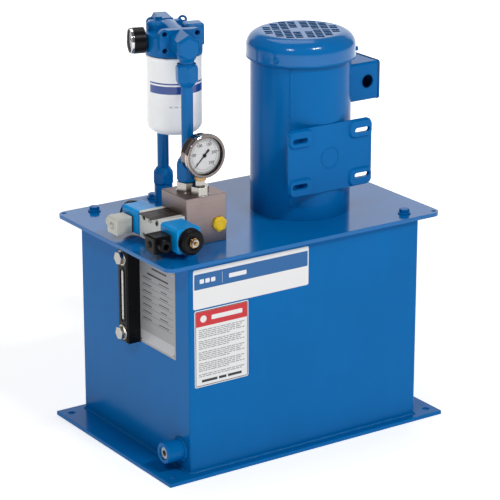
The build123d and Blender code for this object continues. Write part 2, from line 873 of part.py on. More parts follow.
def make_conduit_box():
    centre_z = cover_top + conduit_centre
    root = motor_x + math.sqrt(frame_radius ** 2 - conduit_front ** 2) - 1
    box_end = motor_x + conduit_reach
    side = Plane(origin=(root, motor_y, centre_z), x_dir=(0, 1, 0), z_dir=(1, 0, 0))
    with BuildPart() as conduit_box:
        slab(side, 2 * conduit_front, conduit_height, box_end - root, corner=4)
        slab(side.offset(conduit_wall), 2 * conduit_front - 2 * conduit_wall,
             conduit_height - 2 * conduit_wall, box_end - root, corner=2, mode=Mode.SUBTRACT)
        with BuildSketch(motor_at(frame_bottom)):
            Circle(frame_radius)
        extrude(amount=frame_height, mode=Mode.SUBTRACT)
        disc(side.offset(-conduit_wall), conduit_lead_hole, box_end - root, mode=Mode.SUBTRACT)
        entry = facing_front(box_end - conduit_hole_from_end, motor_y - conduit_front + 10, centre_z)
        disc(entry, conduit_hole_diameter / 2, 20, mode=Mode.SUBTRACT)
    save(conduit_box.part, "conduit_box")

    cover_side = Plane(origin=(box_end, motor_y, centre_z), x_dir=(0, 1, 0), z_dir=(1, 0, 0))
    with BuildPart() as conduit_box_cover:
        slab(cover_side, 2 * conduit_front + 1.5, conduit_height + 1.5, conduit_cover_thickness, corner=5)
        for y, z in corners(2 * conduit_front - 12, conduit_height - 12):
            screw = Plane(origin=(box_end + conduit_cover_thickness, motor_y + y, centre_z + z),
                          x_dir=(0, 1, 0), z_dir=(1, 0, 0))
            disc(screw, 4, 2)
    save(conduit_box_cover.part, "conduit_box_cover")


def make_stator():
    slot_radius = stator_bore + 2 + slot_depth / 2
    step = 360.0 / slot_count
    stack = motor_at(stack_bottom)
    with BuildPart() as stator_core:
        with BuildSketch(stack):
            Circle(frame_bore - 0.1)
            Circle(stator_bore, mode=Mode.SUBTRACT)
            for index in range(slot_count):
                with Locations(Location((0, 0, 0), (0, 0, index * step))):
                    with Locations((slot_radius, 0)):
                        Rectangle(slot_depth, slot_width, mode=Mode.SUBTRACT)
        extrude(amount=stack_height)
    save(stator_core.part, "stator_core")

    with BuildPart() as stator_windings:
        with BuildSketch(motor_at(stack_bottom - winding_overhang)):
            for index in range(slot_count):
                with Locations(Location((0, 0, 0), (0, 0, index * step))):
                    with Locations((slot_radius, 0)):
                        Rectangle(slot_depth - 0.4, slot_width - 0.4)
        extrude(amount=stack_height + 2 * winding_overhang)
        outer = slot_radius + slot_depth / 2 + 2
        inner = slot_radius - slot_depth / 2
        coil_ring = winding_overhang - 3
        disc(motor_at(stack_bottom - winding_overhang), outer, coil_ring, bore=inner)
        disc(motor_at(stack_bottom + stack_height + 3), outer, coil_ring, bore=inner)
        round_edges = stator_windings.edges().filter_by(GeomType.CIRCLE)
        fillet(round_edges.group_by(Axis.Z)[0], 4)
        fillet(stator_windings.edges().filter_by(GeomType.CIRCLE).group_by(Axis.Z)[-1], 4)
    save(stator_windings.part, "stator_windings")


def make_bearings():
    """Sealed ball bearings: each has a fixed outer ring; the turning inner ring is on the shaft."""
    with BuildPart() as motor_bearings:
        lower = motor_at(cover_top + bell_plate)
        disc(lower, lower_bearing_outer, lower_bearing_width,
             bore=lower_bearing_bore + bearing_ring + bearing_gap)
        upper = motor_at(frame_top - 4)
        disc(upper, upper_bearing_outer, upper_bearing_width,
             bore=upper_bearing_bore + bearing_ring + bearing_gap)
    save(motor_bearings.part, "motor_bearings")


def make_rotor():
    upper_seat = frame_top - 4
    shaft_top = fan_bottom + fan_blade_height - 2
    with BuildPart() as motor_shaft:
        lower_seat = cover_top + bell_plate
        disc(motor_at(shaft_end), shaft_end_radius, lower_seat - shaft_end)
        disc(motor_at(lower_seat), lower_bearing_bore + bearing_ring, lower_bearing_width)
        core_bottom = lower_seat + lower_bearing_width
        disc(motor_at(core_bottom), shaft_core_radius, upper_seat - core_bottom)
        disc(motor_at(upper_seat), upper_bearing_bore + bearing_ring, upper_bearing_width)
        above = upper_seat + upper_bearing_width
        disc(motor_at(above), shaft_end_radius, shaft_top - above)
    save(motor_shaft.part, "motor_shaft")

    with BuildPart() as rotor_core:
        disc(motor_at(stack_bottom), stator_bore - air_gap, stack_height, bore=shaft_core_radius)
        disc(motor_at(stack_bottom - 10), stator_bore - air_gap - 2, 10, bore=shaft_core_radius + 6)
        disc(motor_at(stack_bottom + stack_height), stator_bore - air_gap - 2, 10,
             bore=shaft_core_radius + 6)
    save(rotor_core.part, "rotor_core")

    with BuildPart() as motor_fan:
        disc(motor_at(fan_bottom), fan_radius, fan_blade_thickness, bore=shaft_end_radius)
        disc(motor_at(fan_bottom), fan_hub_radius, fan_blade_height, bore=shaft_end_radius)
        blade_length = fan_radius - fan_hub_radius + 2
        with BuildSketch(motor_at(fan_bottom)):
            for index in range(fan_blades):
                with Locations(Location((0, 0, 0), (0, 0, index * 360.0 / fan_blades))):
                    with Locations((fan_hub_radius - 2 + blade_length / 2, 0)):
                        Rectangle(blade_length, fan_blade_thickness)
        extrude(amount=fan_blade_height)
    save(motor_fan.part, "motor_fan")


# ---------------------------------------------------------------- pump and its drive
def make_coupling():
    step = 360.0 / jaw_count
    jaw_mid = (jaw_inner_radius + hub_radius) / 2
    jaw_radial = hub_radius - jaw_inner_radius
    upper_hub = shaft_end + jaw_end_gap
    lower_hub_top = jaw_level - jaw_end_gap
    jaw_length = upper_hub - lower_hub_top - 2 * jaw_end_gap
    with BuildPart() as coupling_hubs:
        disc(motor_at(upper_hub), hub_radius, hub_length, bore=shaft_end_radius)
        disc(motor_at(lower_hub_top - hub_length), hub_radius, hub_length, bore=pump_shaft_radius)
        for first, bottom in ((0.0, upper_hub - jaw_length), (step / 2, lower_hub_top)):
            with BuildSketch(motor_at(bottom)):
                for index in range(jaw_count):
                    with Locations(Location((0, 0, 0), (0, 0, first + index * step))):
                        with Locations((jaw_mid, 0)):
                            Rectangle(jaw_radial, jaw_width)
            extrude(amount=jaw_length)
    save(coupling_hubs.part, "coupling_hubs")

    lobe_inner = pump_shaft_radius + 2 * spider_clearance
    lobe_length = hub_radius - lobe_inner - 1
    with BuildPart() as coupling_spider:
        with BuildSketch(motor_at(lower_hub_top + 2 * jaw_end_gap)):
            Circle(jaw_inner_radius - spider_clearance)
            for index in range(2 * jaw_count):
                with Locations(Location((0, 0, 0), (0, 0, (index + 0.5) * step / 2))):
                    with Locations((lobe_inner + lobe_length / 2, 0)):
                        Rectangle(lobe_length, lobe_width)
            Circle(lobe_inner, mode=Mode.SUBTRACT)
        extrude(amount=jaw_length - 2 * jaw_end_gap)
    save(coupling_spider.part, "coupling_spider")


def make_pump_adapter():
    with BuildPart() as pump_adapter:
        disc(motor_at(adapter_top - adapter_flange_thickness), adapter_flange_radius,
             adapter_flange_thickness)
        disc(motor_at(adapter_bottom), adapter_outer_radius, adapter_height)
        inner = adapter_outer_radius - adapter_wall
        disc(motor_at(adapter_bottom + adapter_flange_thickness), inner, adapter_height,
             mode=Mode.SUBTRACT)
        slab(at(motor_x, pump_centre_y, adapter_bottom), pump_width, pump_length,
             adapter_flange_thickness, corner=pump_width / 2 - 1)
        disc(motor_at(adapter_bottom), pump_pilot_radius + 0.05, adapter_flange_thickness,
             mode=Mode.SUBTRACT)
        with BuildSketch(motor_at(adapter_bottom)):
            with Locations(*ring_of(4, face_bolt_circle / 2, 45)):
                Circle(bolt_hole_radius)
        extrude(amount=adapter_height, mode=Mode.SUBTRACT)
        with BuildSketch(at(motor_x, pump_centre_y, adapter_bottom)):
            with Locations(*corners(pump_bolt_span_x, pump_bolt_span_y)):
                Circle(bolt_diameter / 2)
        extrude(amount=adapter_flange_thickness, mode=Mode.SUBTRACT)
        window_z = adapter_bottom + adapter_height / 2
        window = facing_front(motor_x, motor_y + 2 * adapter_outer_radius, window_z)
        with BuildSketch(window):
            RectangleRounded(adapter_window_width, adapter_window_height, 8)
        extrude(amount=4 * adapter_outer_radius, mode=Mode.SUBTRACT)
    save(pump_adapter.part, "pump_adapter")


def gear_outline():
    """Closed outline of an involute spur gear with one tooth centred on +X."""
    pressure = math.radians(gear_pressure_angle)
    base = gear_pitch_radius * math.cos(pressure)
    root = gear_pitch_radius - 1.2 * gear_module
    half_tooth = math.pi / (2 * gear_teeth) - gear_backlash

    def flank_angle(radius):
        at_radius = math.acos(min(1.0, base / radius))
        involute = math.tan(at_radius) - at_radius
        at_pitch = math.tan(pressure) - pressure
        return half_tooth + at_pitch - involute

    start = max(base, root) + 0.05
    radii = [start + (gear_tip_radius - start) * k / 4 for k in range(5)]
    return root, radii, [flank_angle(r) for r in radii]


def polar(radius, angle):
    """Point from a radius and an angle in radians."""
    return (radius * math.cos(angle), radius * math.sin(angle))


def gear_face(plane, first_angle):
    """Outline of the gear on a plane, its first tooth at the given angle."""
    root, radii, angles = gear_outline()
    pitch = 2 * math.pi / gear_teeth
    with BuildSketch(plane) as profile:
        with BuildLine():
            for index in range(gear_teeth):
                centre = first_angle + index * pitch
                rising = [polar(r, centre - a) for r, a in zip(radii, angles)]
                falling = [polar(r, centre + a) for r, a in zip(reversed(radii), reversed(angles))]
                Line(polar(root, centre - angles[0]), rising[0])
                Spline(*rising)
                ThreePointArc(rising[-1], polar(gear_tip_radius, centre), falling[0])
                Spline(*falling)
                Line(falling[-1], polar(root, centre + angles[0]))
                following = centre + pitch - angles[0]
                ThreePointArc(polar(root, centre + angles[0]),
                              polar(root, (centre + angles[0] + following) / 2),
                              polar(root, following))
        make_face()
    return profile.sketch


def make_pump_gears():
    with BuildPart() as pump_drive_gear:
        extrude(gear_face(motor_at(gear_bottom), math.pi / 2), amount=gear_height)
        disc(motor_at(gear_bottom - journal_length), gear_journal_radius,
             2 * journal_length + gear_height)
        disc(motor_at(gear_top + journal_length), pump_shaft_radius,
             jaw_level - 2 - gear_top - journal_length)
    save(pump_drive_gear.part, "pump_drive_gear")

    with BuildPart() as pump_driven_gear:
        idler = at(motor_x, idler_y, gear_bottom)
        extrude(gear_face(idler, -math.pi / 2 + math.pi / gear_teeth), amount=gear_height)
        disc(at(motor_x, idler_y, gear_bottom - journal_length), gear_journal_radius,
             2 * journal_length + gear_height)
    save(pump_driven_gear.part, "pump_driven_gear")


def make_pump_body():
    middle = at(motor_x, pump_centre_y, pump_body_bottom)
    chamber = gear_tip_radius + gear_tip_clearance
    journal_bore = gear_journal_radius + journal_clearance
    journal_floor = gear_bottom - journal_length - 0.3
    with BuildPart() as pump_body:
        slab(middle, pump_width, pump_length, pump_body_height, corner=pump_width / 2 - 1)
        chamber_bottom = gear_bottom - gear_side_clearance
        for y in (motor_y, idler_y):
            disc(at(motor_x, y, chamber_bottom), chamber, pump_body_top - chamber_bottom,
                 mode=Mode.SUBTRACT)
            disc(at(motor_x, y, journal_floor), journal_bore, gear_bottom - journal_floor,
                 mode=Mode.SUBTRACT)
        port_z = (gear_bottom + gear_top) / 2
        port = Plane(origin=(motor_x, pump_centre_y, port_z), x_dir=(0, 1, 0), z_dir=(1, 0, 0))
        disc(port, suction_pipe_radius - suction_pipe_wall, pump_width, mode=Mode.SUBTRACT)
        disc(port.offset(pump_width / 2 - 10), suction_pipe_radius, pump_width, mode=Mode.SUBTRACT)
        outlet = Plane(origin=(motor_x, pump_centre_y, port_z), x_dir=(0, 1, 0), z_dir=(-1, 0, 0))
        disc(outlet, pressure_tube_radius - pressure_tube_wall, pump_width, mode=Mode.SUBTRACT)
        disc(outlet.offset(pump_width / 2 - 10), pressure_tube_radius, pump_width, mode=Mode.SUBTRACT)
        with BuildSketch(middle):
            with Locations(*corners(pump_bolt_span_x, pump_bolt_span_y)):
                Circle(bolt_diameter / 2)
        extrude(amount=pump_body_height, mode=Mode.SUBTRACT)
    save(pump_body.part, "pump_body")

    with BuildPart() as pump_front_cover:
        slab(at(motor_x, pump_centre_y, pump_body_top), pump_width, pump_length,
             pump_cover_thickness, corner=pump_width / 2 - 1)
        disc(motor_at(pump_face), pump_pilot_radius, pump_pilot_depth)
        for y in (motor_y, idler_y):
            disc(at(motor_x, y, pump_body_top), journal_bore, journal_length + 0.3, mode=Mode.SUBTRACT)
        disc(motor_at(pump_body_top), pump_shaft_radius + 0.5,
             pump_cover_thickness + pump_pilot_depth, mode=Mode.SUBTRACT)
        with BuildSketch(at(motor_x, pump_centre_y, pump_body_top)):
            with Locations(*corners(pump_bolt_span_x, pump_bolt_span_y)):
                Circle(bolt_diameter / 2)
        extrude(amount=pump_cover_thickness, mode=Mode.SUBTRACT)
    save(pump_front_cover.part, "pump_front_cover")


def make_inner_bolts():
    """Hex bolts out of sight: four clamp the motor to the adapter, four hold the pump together."""
    with BuildPart() as inner_bolts:
        grip = adapter_flange_thickness + cover_thickness + face_bolt_depth
        for x, y in ring_of(4, face_bolt_circle / 2, 45):
            head = at(motor_x + x, motor_y + y, adapter_top - adapter_flange_thickness - bolt_head_height)
            hex_prism(head, bolt_head_flats, bolt_head_height)
            disc(head, bolt_diameter / 2, bolt_head_height + grip - 1)
        pump_grip = pump_body_height + pump_cover_thickness + adapter_flange_thickness
        for x, y in corners(pump_bolt_span_x, pump_bolt_span_y):
            head = at(motor_x + x, pump_centre_y + y, pump_body_bottom - pump_bolt_head)
            hex_prism(head, bolt_head_flats, pump_bolt_head)
            disc(head, bolt_diameter / 2, pump_bolt_head + pump_grip)
    save(inner_bolts.part, "inner_bolts")


def pipe(points, radius, wall, bend):
    """Bent pipe along straight runs with equal bends, inside the current part."""
    with BuildLine() as route:
        FilletPolyline(*points, radius=bend)
    with BuildSketch(Plane(origin=route.line @ 0, z_dir=route.line % 0)) as profile:
        Circle(radius)
        Circle(radius - wall, mode=Mode.SUBTRACT)
    sweep(profile.sketch, path=route.line)


def make_oil_lines():
    port_z = (gear_bottom + gear_top) / 2
    inlet_x = motor_x + pump_width / 2 - 10
    strainer_top = tank_floor + strainer_floor_gap + strainer_height
    drop_x = inlet_x + suction_reach
    foot = at(drop_x, pump_centre_y, tank_floor + strainer_floor_gap)
    with BuildPart() as suction_strainer:
        disc(foot, strainer_radius, strainer_height)
        fillet(suction_strainer.edges().group_by(Axis.Z)[0], strainer_edge)
        disc(foot.offset(strainer_edge), suction_pipe_radius, strainer_height, mode=Mode.SUBTRACT)
        pipe([(inlet_x, pump_centre_y, port_z), (drop_x, pump_centre_y, port_z),
              (drop_x, pump_centre_y, strainer_top - strainer_pipe_reach)],
             suction_pipe_radius, suction_pipe_wall, suction_bend)
    save(suction_strainer.part, "suction_strainer")

    with BuildPart() as pressure_tube:
        outlet_x = motor_x - pump_width / 2 + 10
        pipe([(outlet_x, pump_centre_y, port_z), (block_port_x, pump_centre_y, port_z),
              (block_port_x, block_port_y, port_z + pressure_reach),
              (block_port_x, block_port_y, cover_top)],
             pressure_tube_radius, pressure_tube_wall, pressure_bend)
    save(pressure_tube.part, "pressure_tube")


# ---------------------------------------------------------------- manifold block and valve
def make_manifold_block():
    valve_y = block_centre_y
    with BuildPart() as manifold_block:
        slab(at(block_centre_x, block_centre_y, cover_top), block_length, block_width, block_height)
        chamfer(manifold_block.edges(), block_chamfer)
        top = at(riser_x, riser_y, block_top - port_depth)
        disc(top, tube_radius, port_depth, mode=Mode.SUBTRACT)
        disc(at(gauge_x, gauge_y, block_top - port_depth), 5.5, port_depth, mode=Mode.SUBTRACT)
        disc(at(block_port_x, block_port_y, cover_top), pressure_tube_radius, port_depth,
             mode=Mode.SUBTRACT)
        plug_hole = facing_front(plug_x, block_front + port_depth, cover_top + plug_z)
        disc(plug_hole, port_thread_radius, port_depth, mode=Mode.SUBTRACT)
        relief = Plane(origin=(relief_x, block_back - port_depth, cover_top + relief_z),
                       x_dir=(1, 0, 0), z_dir=(0, 1, 0))
        disc(relief, port_thread_radius, port_depth, mode=Mode.SUBTRACT)
        face = facing_left(block_left + 16, valve_y, valve_centre_z)
        with BuildSketch(face):
            with Locations(*corners(valve_bolt_span_y, valve_bolt_span_z)):
                Circle(valve_bolt_radius)
            with Locations((0, 10.4), (0, -10.4), (-9, 0), (9, 0)):
                Circle(3.2)
        extrude(amount=16, mode=Mode.SUBTRACT)
    save(manifold_block.part, "manifold_block")

    with BuildPart() as port_plug:
        disc(facing_front(plug_x, block_front, cover_top + plug_z), plug_radius, plug_height)
        fillet(port_plug.edges().group_by(Axis.Y)[0], 1.5)
        disc(facing_front(plug_x, block_front + 10, cover_top + plug_z), port_thread_radius - 0.05, 10)
    save(port_plug.part, "port_plug")

    with BuildPart() as relief_valve:
        out = Plane(origin=(relief_x, block_back, cover_top + relief_z),
                    x_dir=(1, 0, 0), z_dir=(0, 1, 0))
        disc(out.offset(-port_depth), port_thread_radius, port_depth)
        hex_prism(out, 25.4, 14)
        disc(out.offset(14), 9, relief_length - 24)
        hex_prism(out.offset(relief_length - 10), 14, 5)
        disc(out.offset(relief_length - 5), 4, 5)
    save(relief_valve.part, "relief_valve")


def make_valve():
    centre = facing_left(block_left, block_centre_y, valve_centre_z)
    spool_plane = Plane(origin=(spool_x, valve_back, valve_centre_z), x_dir=(1, 0, 0), z_dir=(0, -1, 0))
    bore = spool_radius + spool_clearance
    with BuildPart() as valve_body:
        slab(centre, valve_length, valve_height, valve_depth)
        chamfer(valve_body.edges(), 1.0)
        disc(spool_plane, bore, valve_length, mode=Mode.SUBTRACT)
        for y in (-16, 0, 16):
            groove = Plane(origin=(spool_x, block_centre_y + y + 3, valve_centre_z),
                           x_dir=(1, 0, 0), z_dir=(0, -1, 0))
            disc(groove, spool_radius + 4, 6, mode=Mode.SUBTRACT)
        with BuildSketch(centre):
            with Locations(*corners(valve_bolt_span_y, valve_bolt_span_z)):
                Circle(valve_bolt_radius)
            with Locations((0, 0), (-16, 0), (16, 0)):
                Circle(3.2)
        extrude(amount=spool_axis_depth - spool_radius, mode=Mode.SUBTRACT)
        with BuildSketch(centre):
            with Locations(*corners(valve_bolt_span_y, valve_bolt_span_z)):
                Circle(valve_bolt_radius)
        extrude(amount=valve_depth, mode=Mode.SUBTRACT)
        with BuildSketch(centre.offset(valve_depth - valve_head_height - 3)):
            with Locations(*corners(valve_bolt_span_y, valve_bolt_span_z)):
                Circle(valve_head_radius)
        extrude(amount=valve_head_height + 4, mode=Mode.SUBTRACT)
    save(valve_body.part, "valve_body")

    with BuildPart() as valve_bolts:
        for y, z in corners(valve_bolt_span_y, valve_bolt_span_z):
            spot = facing_left(block_left + 12, block_centre_y + y, valve_centre_z + z)
            shank = 12 + valve_depth - valve_head_height - 3
            disc(spot, valve_bolt_radius, shank)
            disc(spot.offset(shank), valve_head_radius, valve_head_height)
            with BuildSketch(spot.offset(shank + valve_head_height - 2.5)):
                RegularPolygon(hexagon(4.0), 6)
            extrude(amount=3, mode=Mode.SUBTRACT)
    save(valve_bolts.part, "valve_bolts")

    with BuildPart() as valve_spool:
        spool_half = valve_length / 2 - spool_travel - 1
        start = Plane(origin=(spool_x, block_centre_y + spool_half, valve_centre_z),
                      x_dir=(1, 0, 0), z_dir=(0, -1, 0))
        disc(start, spool_radius, 2 * spool_half)
        for y in (-10, 4):
            waist = Plane(origin=(spool_x, block_centre_y + y + 6, valve_centre_z),
                          x_dir=(1, 0, 0), z_dir=(0, -1, 0))
            disc(waist, spool_radius + 1, 6, mode=Mode.SUBTRACT, bore=spool_radius - 3)
    save(valve_spool.part, "valve_spool")


def solenoid_side(side):
    """Plane on the spool's axis at a valve end, looking away from the valve."""
    y = valve_front if side < 0 else valve_back
    return Plane(origin=(spool_x, y, valve_centre_z), x_dir=(1, 0, 0), z_dir=(0, side, 0))


def make_solenoids():
    with BuildPart() as valve_coils:
        for side in (-1, 1):
            root = solenoid_side(side)
            with BuildSketch(root):
                RectangleRounded(coil_size, coil_height, coil_corner)
                Circle(core_radius + 0.1, mode=Mode.SUBTRACT)
            extrude(amount=coil_length)
        chamfer(valve_coils.faces().sort_by(Axis.Y)[0].outer_wire().edges(), 2)
        chamfer(valve_coils.faces().sort_by(Axis.Y)[-1].outer_wire().edges(), 2)
    save(valve_coils.part, "valve_coils")

    pin_bore = pin_radius + pin_clearance
    guide_end = coil_length + nut_thickness + pin_guide_stand_out
    pin_start = guide_end + pin_stand_out - pin_length
    with BuildPart() as core_tubes:
        for side in (-1, 1):
            root = solenoid_side(side)
            disc(root, core_radius, coil_length)
            disc(root.offset(coil_length), pin_guide_radius, guide_end - coil_length)
            bore_start = pin_start - spool_travel - 1
            disc(root.offset(bore_start), pin_bore, guide_end - bore_start, mode=Mode.SUBTRACT)
    save(core_tubes.part, "core_tubes")

    with BuildPart() as coil_nuts:
        for side in (-1, 1):
            disc(solenoid_side(side).offset(coil_length), nut_radius, nut_thickness,
                 bore=pin_guide_radius)
        fillet(coil_nuts.faces().sort_by(Axis.Y)[0].outer_wire().edges(), 2)
        fillet(coil_nuts.faces().sort_by(Axis.Y)[-1].outer_wire().edges(), 2)
    save(coil_nuts.part, "coil_nuts")

    for side, label in ((-1, "override_pin_front"), (1, "override_pin_rear")):
        with BuildPart() as override_pin:
            disc(solenoid_side(side).offset(pin_start), pin_radius, pin_length)
            outer_end = override_pin.edges().sort_by(Axis.Y)[0 if side < 0 else -1]
            chamfer(outer_end, 0.6)
        save(override_pin.part, label)


def make_connectors():
    """Plug-in connectors on the coils, each with its cable gland along the spool's axis."""
    outer_x = coil_outer_x - connector_seal - connector_depth
    for side, near_y, label in ((1, rear_connector_y, "connector_grey"),
                                (-1, front_connector_y, "connector_black")):
        middle_y = near_y + side * connector_length / 2
        with BuildPart() as connector:
            base = facing_left(coil_outer_x, middle_y, connector_z)
            slab(base, connector_height - 2 * connector_edge, connector_height - 2 * connector_edge,
                 connector_seal)
            housing = facing_left(coil_outer_x - connector_seal, middle_y, connector_z)
            slab(housing, connector_length, connector_height, connector_depth, corner=connector_edge)
            chamfer(connector.faces().sort_by(Axis.X)[0].edges(), connector_edge)
            gland_end = Plane(origin=(coil_outer_x - connector_seal - connector_depth / 2,
                                      near_y + side * (connector_length + gland_length), connector_z),
                              x_dir=(1, 0, 0), z_dir=(0, -side, 0))
            disc(gland_end, gland_radius, gland_length)
            outer_face = connector.faces().sort_by(Axis.Y)[-1 if side > 0 else 0]
            chamfer(outer_face.edges(), gland_edge)
            disc(gland_end, gland_bore, gland_bore_depth, mode=Mode.SUBTRACT)
            disc(facing_left(outer_x, middle_y, connector_z), connector_screw_radius,
                 connector_screw_rise)
        save(connector.part, label)


# ---------------------------------------------------------------- pressure gauge
def make_pressure_gauge():
    front = facing_front(gauge_x, gauge_front_y, gauge_z)
    back_y = gauge_front_y + gauge_bezel_depth + gauge_case_depth
    with BuildPart() as gauge_case:
        case = facing_front(gauge_x, back_y, gauge_z)
        disc(case, gauge_case_radius, gauge_case_depth)
        fillet(gauge_case.edges().group_by(Axis.Y)[-1], 4)
        disc(case.offset(gauge_case_depth), gauge_radius, gauge_bezel_depth)
        fillet(gauge_case.edges().group_by(Axis.Y)[0], 2)
        disc(front.offset(-gauge_bezel_depth), gauge_case_radius - 2, gauge_bezel_depth,
             mode=Mode.SUBTRACT)
        stem_top = at(gauge_x, gauge_y, gauge_z - gauge_radius)
        slab(stem_top, gauge_stem_size, gauge_stem_size, 12, mode=Mode.SUBTRACT)
    save(gauge_case.part, "gauge_case")

    with BuildPart() as gauge_needle:
        pivot = front.offset(-gauge_bezel_depth + 0.4)
        disc(pivot, gauge_hub_radius, 1.6)
        with BuildSketch(Plane(origin=pivot.origin, z_dir=(0, -1, 0),
                               x_dir=(math.cos(math.radians(gauge_needle_rest)), 0,
                                      math.sin(math.radians(gauge_needle_rest))))):
            with BuildLine():
                Polyline((-gauge_needle_tail, gauge_needle_tail_half),
                         (-gauge_hub_radius, gauge_needle_neck_half),
                         (gauge_needle_length, gauge_needle_tip_half),
                         (gauge_needle_length, -gauge_needle_tip_half),
                         (-gauge_hub_radius, -gauge_needle_neck_half),
                         (-gauge_needle_tail, -gauge_needle_tail_half), close=True)
            make_face()
        extrude(amount=0.8)
    save(gauge_needle.part, "gauge_needle")

    with BuildPart() as gauge_stem:
        neck_top = block_top + gauge_adapter_height + gauge_adapter_neck_height
        stem_height = gauge_z - gauge_radius + 12 - neck_top
        slab(at(gauge_x, gauge_y, neck_top), gauge_stem_size, gauge_stem_size, stem_height)
    save(gauge_stem.part, "gauge_stem")


def make_port_adapters():
    """Plated hex adapters in the block's top: one under the gauge, one under the front riser."""
    with BuildPart() as port_adapters:
        hex_prism(at(gauge_x, gauge_y, block_top), gauge_adapter_flats, gauge_adapter_height,
                  rotation=-12)
        hex_prism(at(gauge_x, gauge_y, block_top + gauge_adapter_height), gauge_adapter_neck_flats,
                  gauge_adapter_neck_height)
        disc(at(gauge_x, gauge_y, block_top - 12), 5.5, 12)
        hex_prism(at(riser_x, riser_y, block_top), riser_adapter_flats, riser_adapter_height,
                  bore=tube_radius - tube_wall, rotation=-12)
        disc(at(riser_x, riser_y, block_top - 12), tube_radius, 12, bore=tube_radius - tube_wall)
    save(port_adapters.part, "port_adapters")


# ---------------------------------------------------------------- return line and filter
def make_return_line():
    tube_bottom = block_top + riser_adapter_height
    rear_bottom = cover_top + return_body_height
    with BuildPart() as riser_tubes:
        disc(at(riser_x, riser_y, tube_bottom), tube_radius, elbow_base - tube_bottom,
             bore=tube_radius - tube_wall)
        disc(at(return_x, return_y, rear_bottom), tube_radius, elbow_base - rear_bottom,
             bore=tube_radius - tube_wall)
    save(riser_tubes.part, "riser_tubes")

    with BuildPart() as tube_nuts:
        nuts = ((riser_x, riser_y, tube_bottom, lower_nut_height, -12),
                (riser_x, riser_y, elbow_base - upper_nut_height, upper_nut_height, 10),
                (return_x, return_y, rear_bottom, rear_nut_height, 0),
                (return_x, return_y, elbow_base - upper_nut_height, upper_nut_height, 10))
        for x, y, z, height, angle in nuts:
            turned_hex(at(x, y, z), nut_flats, height, bore=tube_radius, rotation=angle)
    save(tube_nuts.part, "tube_nuts")

    with BuildPart() as return_flange:
        base = at(return_x, return_y, cover_top)
        with BuildSketch(base):
            SlotOverall(return_flange_length, return_flange_width, rotation=90)
            with Locations((0, return_bolt_span / 2), (0, -return_bolt_span / 2)):
                Circle(bolt_diameter / 2, mode=Mode.SUBTRACT)
        extrude(amount=return_flange_thickness)
        disc(base, return_body_radius, return_body_height)
        fillet(return_flange.edges().filter_by(GeomType.CIRCLE).group_by(Axis.Z)[-1], 1.5)
        pipe_bottom = at(return_x, return_y, cover_bottom - return_pipe_drop)
        disc(pipe_bottom, tube_radius, return_pipe_drop + cover_thickness)
        disc(pipe_bottom, tube_radius - tube_wall, return_pipe_drop + 100, mode=Mode.SUBTRACT)
    save(return_flange.part, "return_flange")


def make_filter_elbows():
    """Forged elbows: a hex leg runs to the filter pad, a round leg goes down to the tube."""
    pad_reach = riser_span / 2 - pad_offset
    bore = tube_radius - tube_wall
    places = [(x, y, (sign * rear_direction[0], sign * rear_direction[1], 0), hex_turn)
              for sign, x, y, hex_turn in ((1, riser_x, riser_y, 0), (-1, return_x, return_y, 30))]
    with BuildPart() as filter_elbows:
        for x, y, towards, hex_turn in places:
            leg = Plane(origin=(x, y, pad_z), x_dir=(0, 0, 1), z_dir=towards)
            square_end = elbow_outer_reach - elbow_end_depth
            hex_prism(leg.offset(-square_end), elbow_flats, square_end + pad_reach,
                      rotation=hex_turn)
            nose = Plane(origin=leg.offset(-square_end).origin, x_dir=(0, 0, 1),
                         z_dir=(-towards[0], -towards[1], 0))
            with BuildSketch(nose):
                RegularPolygon(hexagon(elbow_flats), 6, rotation=hex_turn)
            extrude(amount=elbow_end_depth, taper=elbow_end_taper)
            disc(at(x, y, pad_z - elbow_body_drop), elbow_body_radius, elbow_body_drop)
            shoulder = Plane(origin=(x, y, pad_z - elbow_body_drop), x_dir=(1, 0, 0), z_dir=(0, 0, -1))
            with BuildSketch(shoulder):
                Circle(elbow_body_radius)
            extrude(amount=elbow_taper_height, taper=elbow_body_taper)
            disc(at(x, y, elbow_base), elbow_neck_radius, pad_z - elbow_base)
            disc(leg.offset(pad_reach), port_radius, elbow_spigot)
        for x, y, towards, _ in places:
            leg = Plane(origin=(x, y, pad_z), x_dir=(0, 0, 1), z_dir=towards)
            disc(at(x, y, elbow_base), bore, pad_z - elbow_base, mode=Mode.SUBTRACT)
            disc(leg, bore, riser_span, mode=Mode.SUBTRACT)
    save(filter_elbows.part, "filter_elbows")


